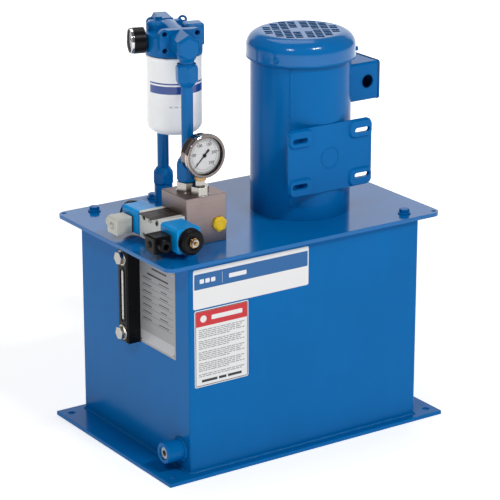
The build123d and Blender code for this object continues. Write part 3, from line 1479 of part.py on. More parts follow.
def make_filter_head():
    """Cast head: round shoulder, a barrel between its two flange pads, a side block and a boss."""
    across = (math.cos(turn), math.sin(turn), 0)
    rear = (rear_direction[0], rear_direction[1], 0)
    with BuildPart() as filter_head:
        disc(filter_plane(head_base), head_radius, head_shoulder_height)
        fillet(filter_head.edges().group_by(Axis.Z)[-1], head_shoulder_round)
        middle = pad_z - head_base
        with BuildSketch(filter_plane(head_base + head_skirt_height)):
            with Locations((head_block_across, 0)):
                RectangleRounded(head_block_length, head_block_depth, head_block_corner)
        extrude(amount=middle + head_block_above - head_skirt_height)
        fillet(filter_head.edges().group_by(Axis.Z)[-1], head_block_round)
        with BuildSketch(filter_plane(head_base + head_skirt_height)):
            with Locations((head_boss_across, head_boss_rear)):
                Circle(head_boss_radius)
        extrude(amount=middle + head_boss_above - head_skirt_height)
        fillet(filter_head.edges().group_by(Axis.Z)[-1], head_boss_round)
        for sign, lower in ((-1, 0.0), (1, rear_pad_lower)):
            out = (sign * rear[0], sign * rear[1], 0)
            barrel = Plane(origin=(filter_x, filter_y, pad_z), x_dir=across, z_dir=out)
            disc(barrel, head_barrel_radius, pad_offset - pad_thickness)
            top = pad_above - lower
            pad = Plane(origin=(filter_x, filter_y, pad_z + (top - pad_below) / 2), x_dir=across,
                        z_dir=out)
            slab(pad.offset(pad_offset - pad_thickness), pad_width, top + pad_below, pad_thickness,
                 corner=pad_corner)
        for sign in (-1, 1):
            out = (sign * rear[0], sign * rear[1], 0)
            pad = Plane(origin=(filter_x, filter_y, pad_z), x_dir=across, z_dir=out)
            with BuildSketch(pad.offset(pad_offset - pad_bolt_depth)):
                with Locations(*corners(pad_bolt_span_x, pad_bolt_span_z)):
                    Circle(pad_bolt_radius)
            extrude(amount=pad_bolt_depth, mode=Mode.SUBTRACT)
            disc(pad.offset(pad_offset - elbow_spigot), port_radius, elbow_spigot, mode=Mode.SUBTRACT)
            disc(pad.offset(head_port_start), port_radius - head_port_step, pad_offset,
                 mode=Mode.SUBTRACT)
        channel = nipple_radius - 3
        disc(filter_plane(head_base), nipple_radius, 10, mode=Mode.SUBTRACT)
        disc(filter_plane(head_base), channel, head_shoulder_height - 6, mode=Mode.SUBTRACT)
        disc(filter_plane(head_base), head_bore, head_bore_depth, mode=Mode.SUBTRACT,
             bore=nipple_radius + 3)
        disc(filter_plane(head_base - nipple_reach), nipple_radius, nipple_reach + 10, bore=channel)
        stem = Plane(origin=(filter_x, filter_y, pad_z - indicator_drop),
                     x_dir=rear, z_dir=(-across[0], -across[1], 0))
        disc(stem.offset(head_radius - 4), indicator_boss_radius, 4 + indicator_gap - 0.5)
        nub = filter_plane(pad_z + pad_above - rear_pad_lower)
        nub_spot = Plane(origin=nub.from_local_coords(Vector(head_nub_across, head_nub_rear, 0)))
        hex_prism(nub_spot, head_nub_flats, head_nub_rise + head_boss_above - pad_above + rear_pad_lower)
    save(filter_head.part, "filter_head")


def make_canister():
    bottom = canister_top - canister_length
    lid = 4.0
    gap = nipple_radius + nipple_clearance
    with BuildPart() as filter_canister:
        disc(filter_plane(bottom), canister_radius, canister_length)
        fillet(filter_canister.edges().group_by(Axis.Z)[0], canister_bottom_radius)
        fillet(filter_canister.edges().group_by(Axis.Z)[-1], 2)
        inner_radius = canister_radius - canister_wall
        disc(filter_plane(bottom + canister_bottom_radius), inner_radius,
             canister_length - canister_bottom_radius - lid, mode=Mode.SUBTRACT)
        disc(filter_plane(bottom + canister_wall), canister_radius - canister_bottom_radius,
             canister_bottom_radius, mode=Mode.SUBTRACT)
        disc(filter_plane(canister_top - lid), gap, lid, mode=Mode.SUBTRACT)
        disc(filter_plane(canister_top), element_radius + 2, canister_gasket, bore=element_radius - 3)
    save(filter_canister.part, "filter_canister")

    with BuildPart() as filter_element:
        foot = filter_plane(bottom + canister_bottom_radius)
        height = canister_length - canister_bottom_radius - lid - 10
        disc(foot, element_radius, height, bore=element_bore)
        disc(foot, element_radius, 2)
    save(filter_element.part, "filter_element")


def make_indicator():
    across = (math.cos(turn), math.sin(turn), 0)
    rear = (rear_direction[0], rear_direction[1], 0)
    stem = Plane(origin=(filter_x, filter_y, pad_z - indicator_drop),
                 x_dir=rear, z_dir=(-across[0], -across[1], 0))
    back = stem.offset(head_radius + indicator_gap)
    face = back.offset(indicator_length)
    inner = indicator_radius - indicator_wall
    with BuildPart() as indicator_case:
        disc(back, indicator_radius, indicator_length)
        disc(face.offset(-4), inner, 5, mode=Mode.SUBTRACT)
        disc(stem.offset(head_radius + indicator_gap - 0.5), indicator_stem_radius, 1)
    save(indicator_case.part, "indicator_case")

    gauge_front = facing_front(gauge_x, gauge_front_y, gauge_z)
    with BuildPart() as gauge_lenses:
        disc(gauge_front.offset(-gauge_lens_inset - gauge_lens_thickness), gauge_case_radius - 2,
             gauge_lens_thickness)
        disc(face.offset(-indicator_lens_thickness), inner, indicator_lens_thickness)
    save(gauge_lenses.part, "gauge_lenses")

    with BuildPart() as indicator_needle:
        disc(face.offset(-3.8), 2, 1.2)
        with BuildSketch(face.offset(-3.8)):
            with BuildLine():
                Polyline((0, 1), (inner - 4, 0.4), (inner - 4, -0.4), (0, -1), close=True)
            make_face()
        extrude(amount=0.7)
    save(indicator_needle.part, "indicator_needle")


make_base_plate()
make_tank_walls()
make_cover_gasket()
make_cover_plate()
make_cover_bolts()
make_drain_plug()
make_level_gauge()
make_breather_cap()
make_motor_housing()
make_fan_cover()
make_motor_foot()
make_conduit_box()
make_stator()
make_bearings()
make_rotor()
make_coupling()
make_pump_adapter()
make_pump_gears()
make_pump_body()
make_inner_bolts()
make_oil_lines()
make_manifold_block()
make_valve()
make_solenoids()
make_connectors()
make_pressure_gauge()
make_port_adapters()
make_return_line()
make_filter_elbows()
make_filter_head()
make_canister()
make_indicator()
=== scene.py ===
import math

import bmesh
import bpy
from mathutils import Matrix, Vector


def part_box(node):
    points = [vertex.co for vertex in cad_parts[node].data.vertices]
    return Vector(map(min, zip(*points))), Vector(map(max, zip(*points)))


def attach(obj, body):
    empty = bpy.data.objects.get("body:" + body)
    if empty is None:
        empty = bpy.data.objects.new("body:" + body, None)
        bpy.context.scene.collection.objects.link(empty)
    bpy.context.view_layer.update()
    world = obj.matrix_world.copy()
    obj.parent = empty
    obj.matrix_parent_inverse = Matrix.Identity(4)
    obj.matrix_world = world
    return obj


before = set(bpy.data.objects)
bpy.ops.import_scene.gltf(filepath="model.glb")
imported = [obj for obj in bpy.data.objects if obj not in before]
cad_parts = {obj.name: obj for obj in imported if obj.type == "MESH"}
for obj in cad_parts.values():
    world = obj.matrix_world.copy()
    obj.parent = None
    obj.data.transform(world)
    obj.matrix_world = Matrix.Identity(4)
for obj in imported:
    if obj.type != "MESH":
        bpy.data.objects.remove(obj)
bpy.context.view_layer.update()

bl_info = {
    "name": "Hydraulic Power Unit",
    "version": (1, 0, 0),
    "blender": (4, 5, 0),
    "location": "3D View > Sidebar > Power Unit",
    "description": "Finishes and trim of a hydraulic power unit with a vertical motor",
    "category": "Object",
}

MM = 0.001

# places and sizes on the CAD pieces that the trim is fitted to
TUBE_RADIUS = 9.53 * MM
BANNER_LEFT, BANNER_BOTTOM = -217 * MM, 282 * MM
NOTICE_LEFT, NOTICE_BOTTOM = -215 * MM, 151 * MM
DATA_PLATE_BOTTOM = 187 * MM
CONDUIT_ENTRY_X, CONDUIT_ENTRY_Y = 198 * MM, -55 * MM
DRAIN_BOSS_RADIUS = 17.5 * MM
SEAM_FACING = math.radians(-125.0 - 10.9)
FILTER_TURN = math.radians(-18.0)
# the filter head, from the canister's axis and the middle of its port pads
PAD_REACH = 47 * MM
PAD_HOLE_ACROSS, PAD_HOLE_UP = 26.2 * MM, 13.1 * MM
HEAD_BOSS_OUT, HEAD_BOSS_BACK, HEAD_BOSS_UP = 25 * MM, 18 * MM, 21 * MM
INDICATOR_REACH = (46 + 3 + 22.5) * MM
INDICATOR_DROP = 4.5 * MM
# radians a metre, for one stator sheet each millimetre
SHEET_RATE = 6283.0
CAMERA_PLACE = (-2.0286, -3.0121, 1.5157)
CAMERA_AIM = (0.52978, 0.78591, -0.31888)
CORNERS = ((-1, -1), (-1, 1), (1, -1), (1, 1))


# ---------------------------------------------------------------- settings
class PowerUnitColours(bpy.types.PropertyGroup):
    """Colours of the painted, moulded and printed finishes"""

    enamel: bpy.props.FloatVectorProperty(
        name="Enamel", description="Blue enamel of the tank, motor and fittings", subtype="COLOR",
        size=3, min=0, max=1, default=(0.0005, 0.142, 0.430))
    coil: bpy.props.FloatVectorProperty(
        name="Coil", description="Moulded blue of the solenoid coils", subtype="COLOR",
        size=3, min=0, max=1, default=(0.0005, 0.300, 0.740))
    canister: bpy.props.FloatVectorProperty(
        name="Canister", description="White paint of the filter canister", subtype="COLOR",
        size=3, min=0, max=1, default=(0.93, 0.94, 0.95))
    stripe: bpy.props.FloatVectorProperty(
        name="Stripe", description="Printed blue of the canister and the front label", subtype="COLOR",
        size=3, min=0, max=1, default=(0.01, 0.06, 0.30))
    notice: bpy.props.FloatVectorProperty(
        name="Notice", description="Red header of the notice label", subtype="COLOR",
        size=3, min=0, max=1, default=(0.60, 0.012, 0.02))
    plug: bpy.props.FloatVectorProperty(
        name="Port plug", description="Yellow of the plastic port plug", subtype="COLOR",
        size=3, min=0, max=1, default=(0.98, 0.62, 0.01))


class PowerUnitTrim(bpy.types.PropertyGroup):
    """Sizes of the labels, welds and small trim"""

    band_length: bpy.props.FloatProperty(
        name="Band length", description="Length of the banded label on the front wall",
        default=0.219, unit="LENGTH", min=0.05, max=0.4)
    band_height: bpy.props.FloatProperty(
        name="Band height", description="Height of the banded label on the front wall",
        default=0.065, unit="LENGTH", min=0.02, max=0.15)
    notice_width: bpy.props.FloatProperty(
        name="Notice width", description="Width of the notice label",
        default=0.101, unit="LENGTH", min=0.04, max=0.2)
    notice_height: bpy.props.FloatProperty(
        name="Notice height", description="Height of the notice label",
        default=0.1285, unit="LENGTH", min=0.04, max=0.13)
    plate_width: bpy.props.FloatProperty(
        name="Plate width", description="Width of the data plate on the end wall",
        default=0.107, unit="LENGTH", min=0.04, max=0.15)
    plate_height: bpy.props.FloatProperty(
        name="Plate height", description="Height of the data plate on the end wall",
        default=0.146, unit="LENGTH", min=0.04, max=0.15)
    weld_size: bpy.props.FloatProperty(
        name="Weld size", description="Throat of the weld beads round the tank",
        default=0.0035, unit="LENGTH", min=0.001, max=0.006)
    edge_radius: bpy.props.FloatProperty(
        name="Edge radius", description="Softness of painted edges",
        default=0.0012, unit="LENGTH", min=0.0002, max=0.004)


class PowerUnitStudio(bpy.types.PropertyGroup):
    """Camera, floor and light of the studio"""

    lens: bpy.props.FloatProperty(
        name="Lens", description="Focal length of the camera in millimetres",
        default=166.5, min=20, max=300)
    key: bpy.props.FloatProperty(
        name="Key light", description="Power of the large soft light",
        default=36.0, unit="POWER", min=0, max=1000)
    room: bpy.props.FloatProperty(
        name="Room light", description="Strength of the even white surroundings",
        default=0.18, min=0, max=4)
    glow: bpy.props.FloatProperty(
        name="Floor glow", description="How much the floor is lightened behind the unit",
        default=0.46, min=0, max=4)


# ---------------------------------------------------------------- shader kit
class Wire:
    """A socket whose arithmetic adds Math nodes to its material"""

    def __init__(self, shade, socket):
        self.shade = shade
        self.socket = socket

    def maths(self, operation, first, second=None):
        inputs = {0: first} if second is None else {0: first, 1: second}
        return self.shade.node("ShaderNodeMath", {"operation": operation}, inputs)

    def __add__(self, other):
        return self.maths("ADD", self, other)

    __radd__ = __add__

    def __sub__(self, other):
        return self.maths("SUBTRACT", self, other)

    def __rsub__(self, other):
        return self.maths("SUBTRACT", other, self)

    def __mul__(self, other):
        return self.maths("MULTIPLY", self, other)

    __rmul__ = __mul__

    def __truediv__(self, other):
        return self.maths("DIVIDE", self, other)

    def __pow__(self, other):
        return self.maths("POWER", self, other)

    def sine(self):
        return self.maths("SINE", self)

    def limited(self, low, high):
        return self.shade.node("ShaderNodeClamp", {}, {"Value": self, "Min": low, "Max": high})


class Shade:
    """One material's node tree, built a node at a time"""

    def __init__(self, name):
        self.material = bpy.data.materials.new(name)
        self.material.use_nodes = True
        self.tree = self.material.node_tree
        self.tree.nodes.clear()

    def node(self, kind, settings, inputs, out=0):
        made = self.tree.nodes.new(kind)
        for key, value in settings.items():
            setattr(made, key, value)
        for key, value in inputs.items():
            if isinstance(value, Wire):
                self.tree.links.new(value.socket, made.inputs[key])
            else:
                made.inputs[key].default_value = value
        return Wire(self, made.outputs[out])

    def place(self):
        """Position on the object in metres"""
        return self.node("ShaderNodeTexCoord", {}, {}, "Object")

    def stretched(self, scale, place=None):
        return self.node("ShaderNodeMapping", {}, {"Vector": place or self.place(), "Scale": scale})

    def axis(self, letter, place=None):
        return self.node("ShaderNodeSeparateXYZ", {}, {"Vector": place or self.place()}, letter)

    def noise(self, scale, detail=3.0, rough=0.5, place=None):
        where = place or self.place()
        return self.node("ShaderNodeTexNoise", {},
                         {"Vector": where, "Scale": scale, "Detail": detail, "Roughness": rough}, 0)

    def cells(self, scale, place=None):
        where = place or self.place()
        return self.node("ShaderNodeTexVoronoi", {}, {"Vector": where, "Scale": scale}, "Distance")

    def mix(self, factor, first, second):
        return self.node("ShaderNodeMix", {"data_type": "RGBA"},
                         {"Factor": factor, 6: opaque(first), 7: opaque(second)}, 2)

    def ramp(self, value, low, high):
        """0 at low, 1 at high, held outside"""
        return self.node("ShaderNodeMapRange", {}, {"Value": value, "From Min": low, "From Max": high})

    def band(self, value, low, high, soft=0.0002):
        """1 between low and high"""
        return self.ramp(value, low - soft, low) * (1 - self.ramp(value, high, high + soft))

    def soft_edge(self, radius):
        """Normal rounded over the solid's edges"""
        return self.node("ShaderNodeBevel", {"samples": 6}, {"Radius": radius})

    def edge_mask(self, rounded, gain=3.0):
        """1 along edges, 0 on the flats, from the rounded normal"""
        flat = self.node("ShaderNodeNewGeometry", {}, {}, "Normal")
        same = self.node("ShaderNodeVectorMath", {"operation": "DOT_PRODUCT"},
                         {0: rounded, 1: flat}, "Value")
        return ((1 - same) * gain).limited(0.0, 1.0)

    def bump(self, height, strength, distance, normal=None):
        inputs = {"Height": height, "Strength": strength, "Distance": distance}
        if normal is not None:
            inputs["Normal"] = normal
        return self.node("ShaderNodeBump", {}, inputs)

    def surface(self, **sockets):
        inputs = {key.replace("_", " "): value for key, value in sockets.items()}
        if "Base Color" in inputs:
            inputs["Base Color"] = opaque(inputs["Base Color"])
        shader = self.node("ShaderNodeBsdfPrincipled", {}, inputs)
        last = self.tree.nodes.new("ShaderNodeOutputMaterial")
        self.tree.links.new(shader.socket, last.inputs["Surface"])
        return self.material


def opaque(colour):
    """Colour with an alpha, or the wire unchanged"""
    if isinstance(colour, Wire):
        return colour
    return (*tuple(colour)[:3], 1.0)


def shaded(colour, factor):
    """The colour made lighter or darker"""
    return tuple(min(1.0, c * factor) for c in tuple(colour)[:3])


# ---------------------------------------------------------------- finishes
def enamel_finish(name, colour, rough=0.15, edge=0.0012, peel=0.3, gloss=1.17):
    """Sprayed enamel: slow changes of tone, fine orange peel, edges lightened as thin paint and as
    painted highlight
    """
    s = Shade(name)
    tone = s.noise(7.0, 4.0, 0.6)
    runs = s.noise(1.0, 3.0, 0.5, s.stretched((60.0, 60.0, 9.0)))
    grain = s.noise(700.0, 2.0)
    rounded = s.soft_edge(edge)
    edges = s.edge_mask(rounded)
    base = s.mix(tone, shaded(colour, 0.86), shaded(colour, 1.14))
    base = s.mix(runs * 0.25, base, shaded(colour, 0.80))
    # edges lightened: partly thin paint, partly a painted highlight standing in for light caught along
    # the edges
    edge_highlight_and_thin_paint = tuple(c + 0.03 for c in shaded(colour, 1.3))
    base = s.mix(edges * s.ramp(s.noise(160.0, 3.0), 0.35, 0.7) * 0.5, base, edge_highlight_and_thin_paint)
    roughness = rough + tone * 0.07 + s.ramp(s.noise(45.0, 5.0, 0.7), 0.52, 0.8) * 0.10
    return s.surface(Base_Color=base, Roughness=roughness, IOR=gloss,
                     Normal=s.bump(grain + tone * 2.0, peel, 0.00025, rounded))


def machined_finish(name, colour, grain, rough=0.34, metal=1.0, edge=0.0006):
    """Machined or brushed metal with fine lines along one direction"""
    s = Shade(name)
    lines = s.noise(1.0, 4.0, 0.65, s.stretched(grain))
    blotch = s.noise(28.0, 4.0, 0.6)
    rounded = s.soft_edge(edge)
    edges = s.edge_mask(rounded)
    base = s.mix(blotch, shaded(colour, 0.80), shaded(colour, 1.12))
    base = s.mix(lines * 0.35, base, shaded(colour, 0.62))
    base = s.mix(edges * 0.6, base, shaded(colour, 1.5))
    return s.surface(Base_Color=base, Metallic=metal, Roughness=rough + lines * 0.16 + blotch * 0.08,
                     Normal=s.bump(lines, 0.25, 0.00012, rounded))


def plated_finish(name, colour, rough=0.2, spots=0.12):
    """Zinc or chrome plate with faint cloudy patches"""
    s = Shade(name)
    cloud = s.noise(60.0, 5.0, 0.7)
    fine = s.noise(900.0, 2.0)
    rounded = s.soft_edge(0.0005)
    base = s.mix(cloud, shaded(colour, 0.82), shaded(colour, 1.1))
    return s.surface(Base_Color=base, Metallic=1.0, Roughness=rough + cloud * spots,
                     Normal=s.bump(fine, 0.08, 0.0001, rounded))


def moulded_finish(name, colour, rough=0.4, texture=0.3, scale=1400.0, coat=0.0, edge=0.0005,
                   gloss=1.36):
    """Moulded plastic with a fine spark-eroded texture and rubbed edges"""
    s = Shade(name)
    sparks = s.cells(scale)
    tone = s.noise(35.0, 3.0)
    rounded = s.soft_edge(edge)
    edges = s.edge_mask(rounded)
    base = s.mix(tone, shaded(colour, 0.88), shaded(colour, 1.12))
    base = s.mix(edges * 0.3, base, tuple(c * 0.8 + 0.05 for c in tuple(colour)[:3]))
    return s.surface(Base_Color=base, Roughness=rough + tone * 0.1, Coat_Weight=coat, IOR=gloss,
                     Normal=s.bump(sparks, texture, 0.0001, rounded))


def cast_finish(name, colour, rough=0.6, metal=0.7):
    """Sand casting: pitted, dull"""
    s = Shade(name)
    pits = s.noise(260.0, 6.0, 0.75)
    tone = s.noise(18.0, 3.0)
    base = s.mix(tone, shaded(colour, 0.8), shaded(colour, 1.2))
    return s.surface(Base_Color=base, Metallic=metal, Roughness=rough + pits * 0.15,
                     Normal=s.bump(pits, 0.7, 0.0006, s.soft_edge(0.0008)))


def rubber_finish(name, colour):
    """Dull rubber with a dusty bloom"""
    s = Shade(name)
    dust = s.noise(120.0, 5.0, 0.7)
    base = s.mix(s.ramp(dust, 0.45, 0.8) * 0.25, colour, tuple(c + 0.08 for c in colour))
    return s.surface(Base_Color=base, Roughness=0.75 + dust * 0.1,
                     Normal=s.bump(dust, 0.3, 0.0003))


def printed_finish(name, colour, rough=0.33, wear=0.5):
    """Printed film: even colour, faint press grain, a few scuffs"""
    s = Shade(name)
    grain = s.noise(1500.0, 2.0)
    scuffs = s.ramp(s.noise(1.0, 5.0, 0.7, s.stretched((150.0, 150.0, 30.0))), 0.62, 0.78)
    base = s.mix(grain * 0.15, shaded(colour, 1.0), shaded(colour, 0.85))
    base = s.mix(scuffs * 0.12 * wear, base, (0.5, 0.5, 0.5))
    return s.surface(Base_Color=base, Roughness=rough + grain * 0.05 + scuffs * 0.2 * wear,
                     Normal=s.bump(grain, 0.05, 0.0001))


def clear_finish(name, tint=(0.10, 0.10, 0.11), alpha=0.05):
    """Clear moulded lens"""
    s = Shade(name)
    smear = s.noise(40.0, 4.0, 0.6)
    return s.surface(Base_Color=s.mix(smear, tint, shaded(tint, 0.94)), Roughness=0.03 + smear * 0.05,
                     Alpha=alpha + smear * 0.03, IOR=1.49)


def canister_finish(colour, stripe, lowest, highest):
    """White canister with a plain printed stripe and a thin line above it"""
    s = Shade("canister paint")
    place = s.place()
    height = (s.axis("Z", place) - lowest) / (highest - lowest)
    across = s.axis("X", place) * 0.829 - s.axis("Y", place) * 0.559
    bar = s.band(height, 0.545, 0.640, 0.004)
    line = s.band(height, 0.664, 0.680, 0.003)
    caption = s.band(height, 0.375, 0.392, 0.003) * s.band((across * 700.0).sine(), -0.4, 2.0, 0.1)
    near = s.band(s.axis("Y", place), -1.0, 0.02, 0.002)
    tone = s.noise(30.0, 3.0)
    fine = s.noise(900.0, 2.0)
    base = s.mix(tone, shaded(colour, 0.94), shaded(colour, 1.04))
    print_mask = ((bar + line) * near).limited(0.0, 1.0)
    base = s.mix(print_mask, base, stripe)
    base = s.mix(caption * near * s.band(across, -0.125, -0.105, 0.002) * 0.6, base, (0.3, 0.31, 0.33))
    return s.surface(Base_Color=base, Roughness=0.22 + tone * 0.06, Coat_Weight=0.4,
                     Coat_Roughness=0.08, Normal=s.bump(fine, 0.08, 0.0001, s.soft_edge(0.001)))


def winding_finish():
    """Varnished copper wire, fine turns along the coil"""
    s = Shade("winding copper")
    turns = s.node("ShaderNodeTexWave", {"wave_type": "BANDS", "bands_direction": "Z"},
                   {"Vector": s.place(), "Scale": 320.0, "Distortion": 4.0, "Detail": 2.0})
    base = s.mix(turns, (0.30, 0.085, 0.02), (0.72, 0.30, 0.10))
    return s.surface(Base_Color=base, Metallic=0.85, Roughness=0.32,
                     Normal=s.bump(turns, 0.6, 0.0006))


def lamination_finish():
    """Stacked steel sheets seen from the side"""
    s = Shade("lamination steel")
    sheets = (s.axis("Z") * SHEET_RATE).sine()
    tone = s.noise(40.0, 4.0)
    base = s.mix(tone, (0.20, 0.20, 0.21), (0.34, 0.34, 0.36))
    return s.surface(Base_Color=base, Metallic=0.9, Roughness=0.45 + tone * 0.1,
                     Normal=s.bump(sheets, 0.3, 0.0002))


def paper_finish():
    """Pleated filter paper"""
    s = Shade("pleated paper")
    pleats = s.node("ShaderNodeTexWave", {"wave_type": "RINGS", "rings_direction": "Z"},
                    {"Vector": s.place(), "Scale": 60.0, "Distortion": 0.6})
    fibre = s.noise(900.0, 4.0, 0.7)
    base = s.mix(pleats * 0.5 + fibre * 0.3, (0.78, 0.62, 0.34), (0.55, 0.40, 0.20))
    return s.surface(Base_Color=base, Roughness=0.85, Normal=s.bump(pleats + fibre * 0.3, 0.6, 0.001))


# ---------------------------------------------------------------- mesh kit
def turned(point, normal, up=(0, 0, 1)):
    """Matrix at a point whose local Z is the normal and whose local Y leans towards up"""
    z = Vector(normal).normalized()
    hint = Vector(up)
    if abs(z.dot(hint)) > 0.98:
        hint = Vector((0, 1, 0))
    x = hint.cross(z).normalized()
    y = z.cross(x)
    place = Matrix((x, y, z)).transposed().to_4x4()
    place.translation = Vector(point)
    return place


def spoke(angle):
    """Unit vector at an angle round the Z axis"""
    return Vector((math.cos(angle), math.sin(angle), 0))


def lathe(bm, place, profile, steps=48):
    """Turned shape from (radius, height) pairs along the local Z axis"""
    rings = []
    for radius, height in profile:
        if radius < 1e-7:
            rings.append([bm.verts.new(place @ Vector((0, 0, height)))])
            continue
        ring = []
        for step in range(steps):
            angle = 2 * math.pi * step / steps
            corner = Vector((radius * math.cos(angle), radius * math.sin(angle), height))
            ring.append(bm.verts.new(place @ corner))
        rings.append(ring)
    for low, high in zip(rings, rings[1:]):
        for step in range(steps):
            after = (step + 1) % steps
            if len(low) == 1 and len(high) > 1:
                bm.faces.new((low[0], high[after], high[step]))
            elif len(high) == 1 and len(low) > 1:
                bm.faces.new((low[step], low[after], high[0]))
            elif len(low) > 1:
                bm.faces.new((low[step], low[after], high[after], high[step]))


def closed_lathe(bm, place, profile, steps=48):
    """Turned ring whose profile joins its own start"""
    lathe(bm, place, [*profile, profile[0]], steps)


def rounded_outline(width, height, corner, steps=6):
    """Points of a rectangle with rounded corners, centred, anticlockwise"""
    corner = min(corner, width / 2 - 1e-6, height / 2 - 1e-6)
    points = []
    for sx, sy, first in ((1, 1, 0), (-1, 1, 90), (-1, -1, 180), (1, -1, 270)):
        for step in range(steps + 1):
            angle = math.radians(first + 90 * step / steps)
            points.append((sx * (width / 2 - corner) + corner * math.cos(angle),
                           sy * (height / 2 - corner) + corner * math.sin(angle)))
    return points


def slab(bm, place, outline, low, high, soften=0.0):
    """Flat piece from an outline between two heights, its top edge softened by a small chamfer"""
    levels = [(low, 0.0), (high - soften, 0.0)]
    if soften:
        levels.append((high, soften))
    centre = Vector((sum(p[0] for p in outline), sum(p[1] for p in outline))) / len(outline)
    rings = []
    for height, inset in levels:
        ring = []
        for x, y in outline:
            away = Vector((x, y)) - centre
            pulled = away * (1 - inset / max(away.length, 1e-9))
            ring.append(bm.verts.new(place @ Vector((centre.x + pulled.x, centre.y + pulled.y,
                                                     height))))
        rings.append(ring)
    count = len(outline)
    for lower, upper in zip(rings, rings[1:]):
        for step in range(count):
            after = (step + 1) % count
            bm.faces.new((lower[step], lower[after], upper[after], upper[step]))
    bm.faces.new(list(reversed(rings[0])))
    bm.faces.new(rings[-1])


def frame_ring(bm, place, outer, inner, low, high):
    """Flat ring between two outlines that have the same number of points"""
    count = len(outer)
    rows = []
    for outline, height in ((outer, low), (outer, high), (inner, high), (inner, low)):
        rows.append([bm.verts.new(place @ Vector((x, y, height))) for x, y in outline])
    rows.append(rows[0])
    for first, second in zip(rows, rows[1:]):
        for step in range(count):
            after = (step + 1) % count
            bm.faces.new((first[step], first[after], second[after], second[step]))


def polygon(sides, flats, turn=0.0):
    """Outline of a regular polygon from its size across flats"""
    radius = flats / 2 / math.cos(math.pi / sides)
    return [(radius * math.cos(turn + 2 * math.pi * i / sides),
             radius * math.sin(turn + 2 * math.pi * i / sides)) for i in range(sides)]


def weld_bead(bm, path, radius, ripple, outward, closed=True):
    """Rippled bead that follows a path; outward gives each point's two free directions"""
    section = 7
    rows = []
    travelled = 0.0
    for index, point in enumerate(path):
        if index:
            travelled += (point - path[index - 1]).length
        swell = 1 + 0.16 * math.sin(travelled / ripple * 2 * math.pi) \
            + 0.08 * math.sin(travelled / ripple * 0.83 + 1.3)
        first, second = outward[index]
        row = []
        for step in range(section):
            angle = math.pi / 2 * step / (section - 1)
            reach = radius * swell * (1.0 - 0.18 * math.sin(2 * angle))
            row.append(bm.verts.new(point + first * reach * math.cos(angle)
                                    + second * reach * math.sin(angle)))
        row.append(bm.verts.new(point))
        rows.append(row)
    if closed:
        rows.append(rows[0])
    for low, high in zip(rows, rows[1:]):
        for step in range(section + 1):
            after = (step + 1) % (section + 1)
            bm.faces.new((low[step], low[after], high[after], high[step]))
    if not closed:
        bm.faces.new(rows[0])
        bm.faces.new(list(reversed(rows[-1])))


def piece(name, bm, material, body="unit", sharp=32.0):
    """Turns a finished bmesh into a named piece that rides on a body"""
    bmesh.ops.recalc_face_normals(bm, faces=bm.faces[:])
    mesh = bpy.data.meshes.new(name)
    bm.to_mesh(mesh)
    bm.free()
    for face in mesh.polygons:
        face.use_smooth = True
    mesh.set_sharp_from_angle(angle=math.radians(sharp))
    mesh.materials.append(material)
    made = bpy.data.objects.new(name, mesh)
    bpy.context.scene.collection.objects.link(made)
    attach(made, body)
    return made


def dress(material, *nodes):
    """Gives CAD nodes a finish"""
    for node in nodes:
        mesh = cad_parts[node].data
        mesh.materials.clear()
        mesh.materials.append(material)


def span(node):
    """Centre, lowest and highest corner of a CAD node"""
    low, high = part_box(node)
    return (low + high) / 2, low, high


def finish_named(name):
    """A finish that an earlier step made"""
    material = bpy.data.materials.get(name)
    if material is None:
        raise RuntimeError(f"the finish {name} is made by the finishes step, which has to run first")
    return material


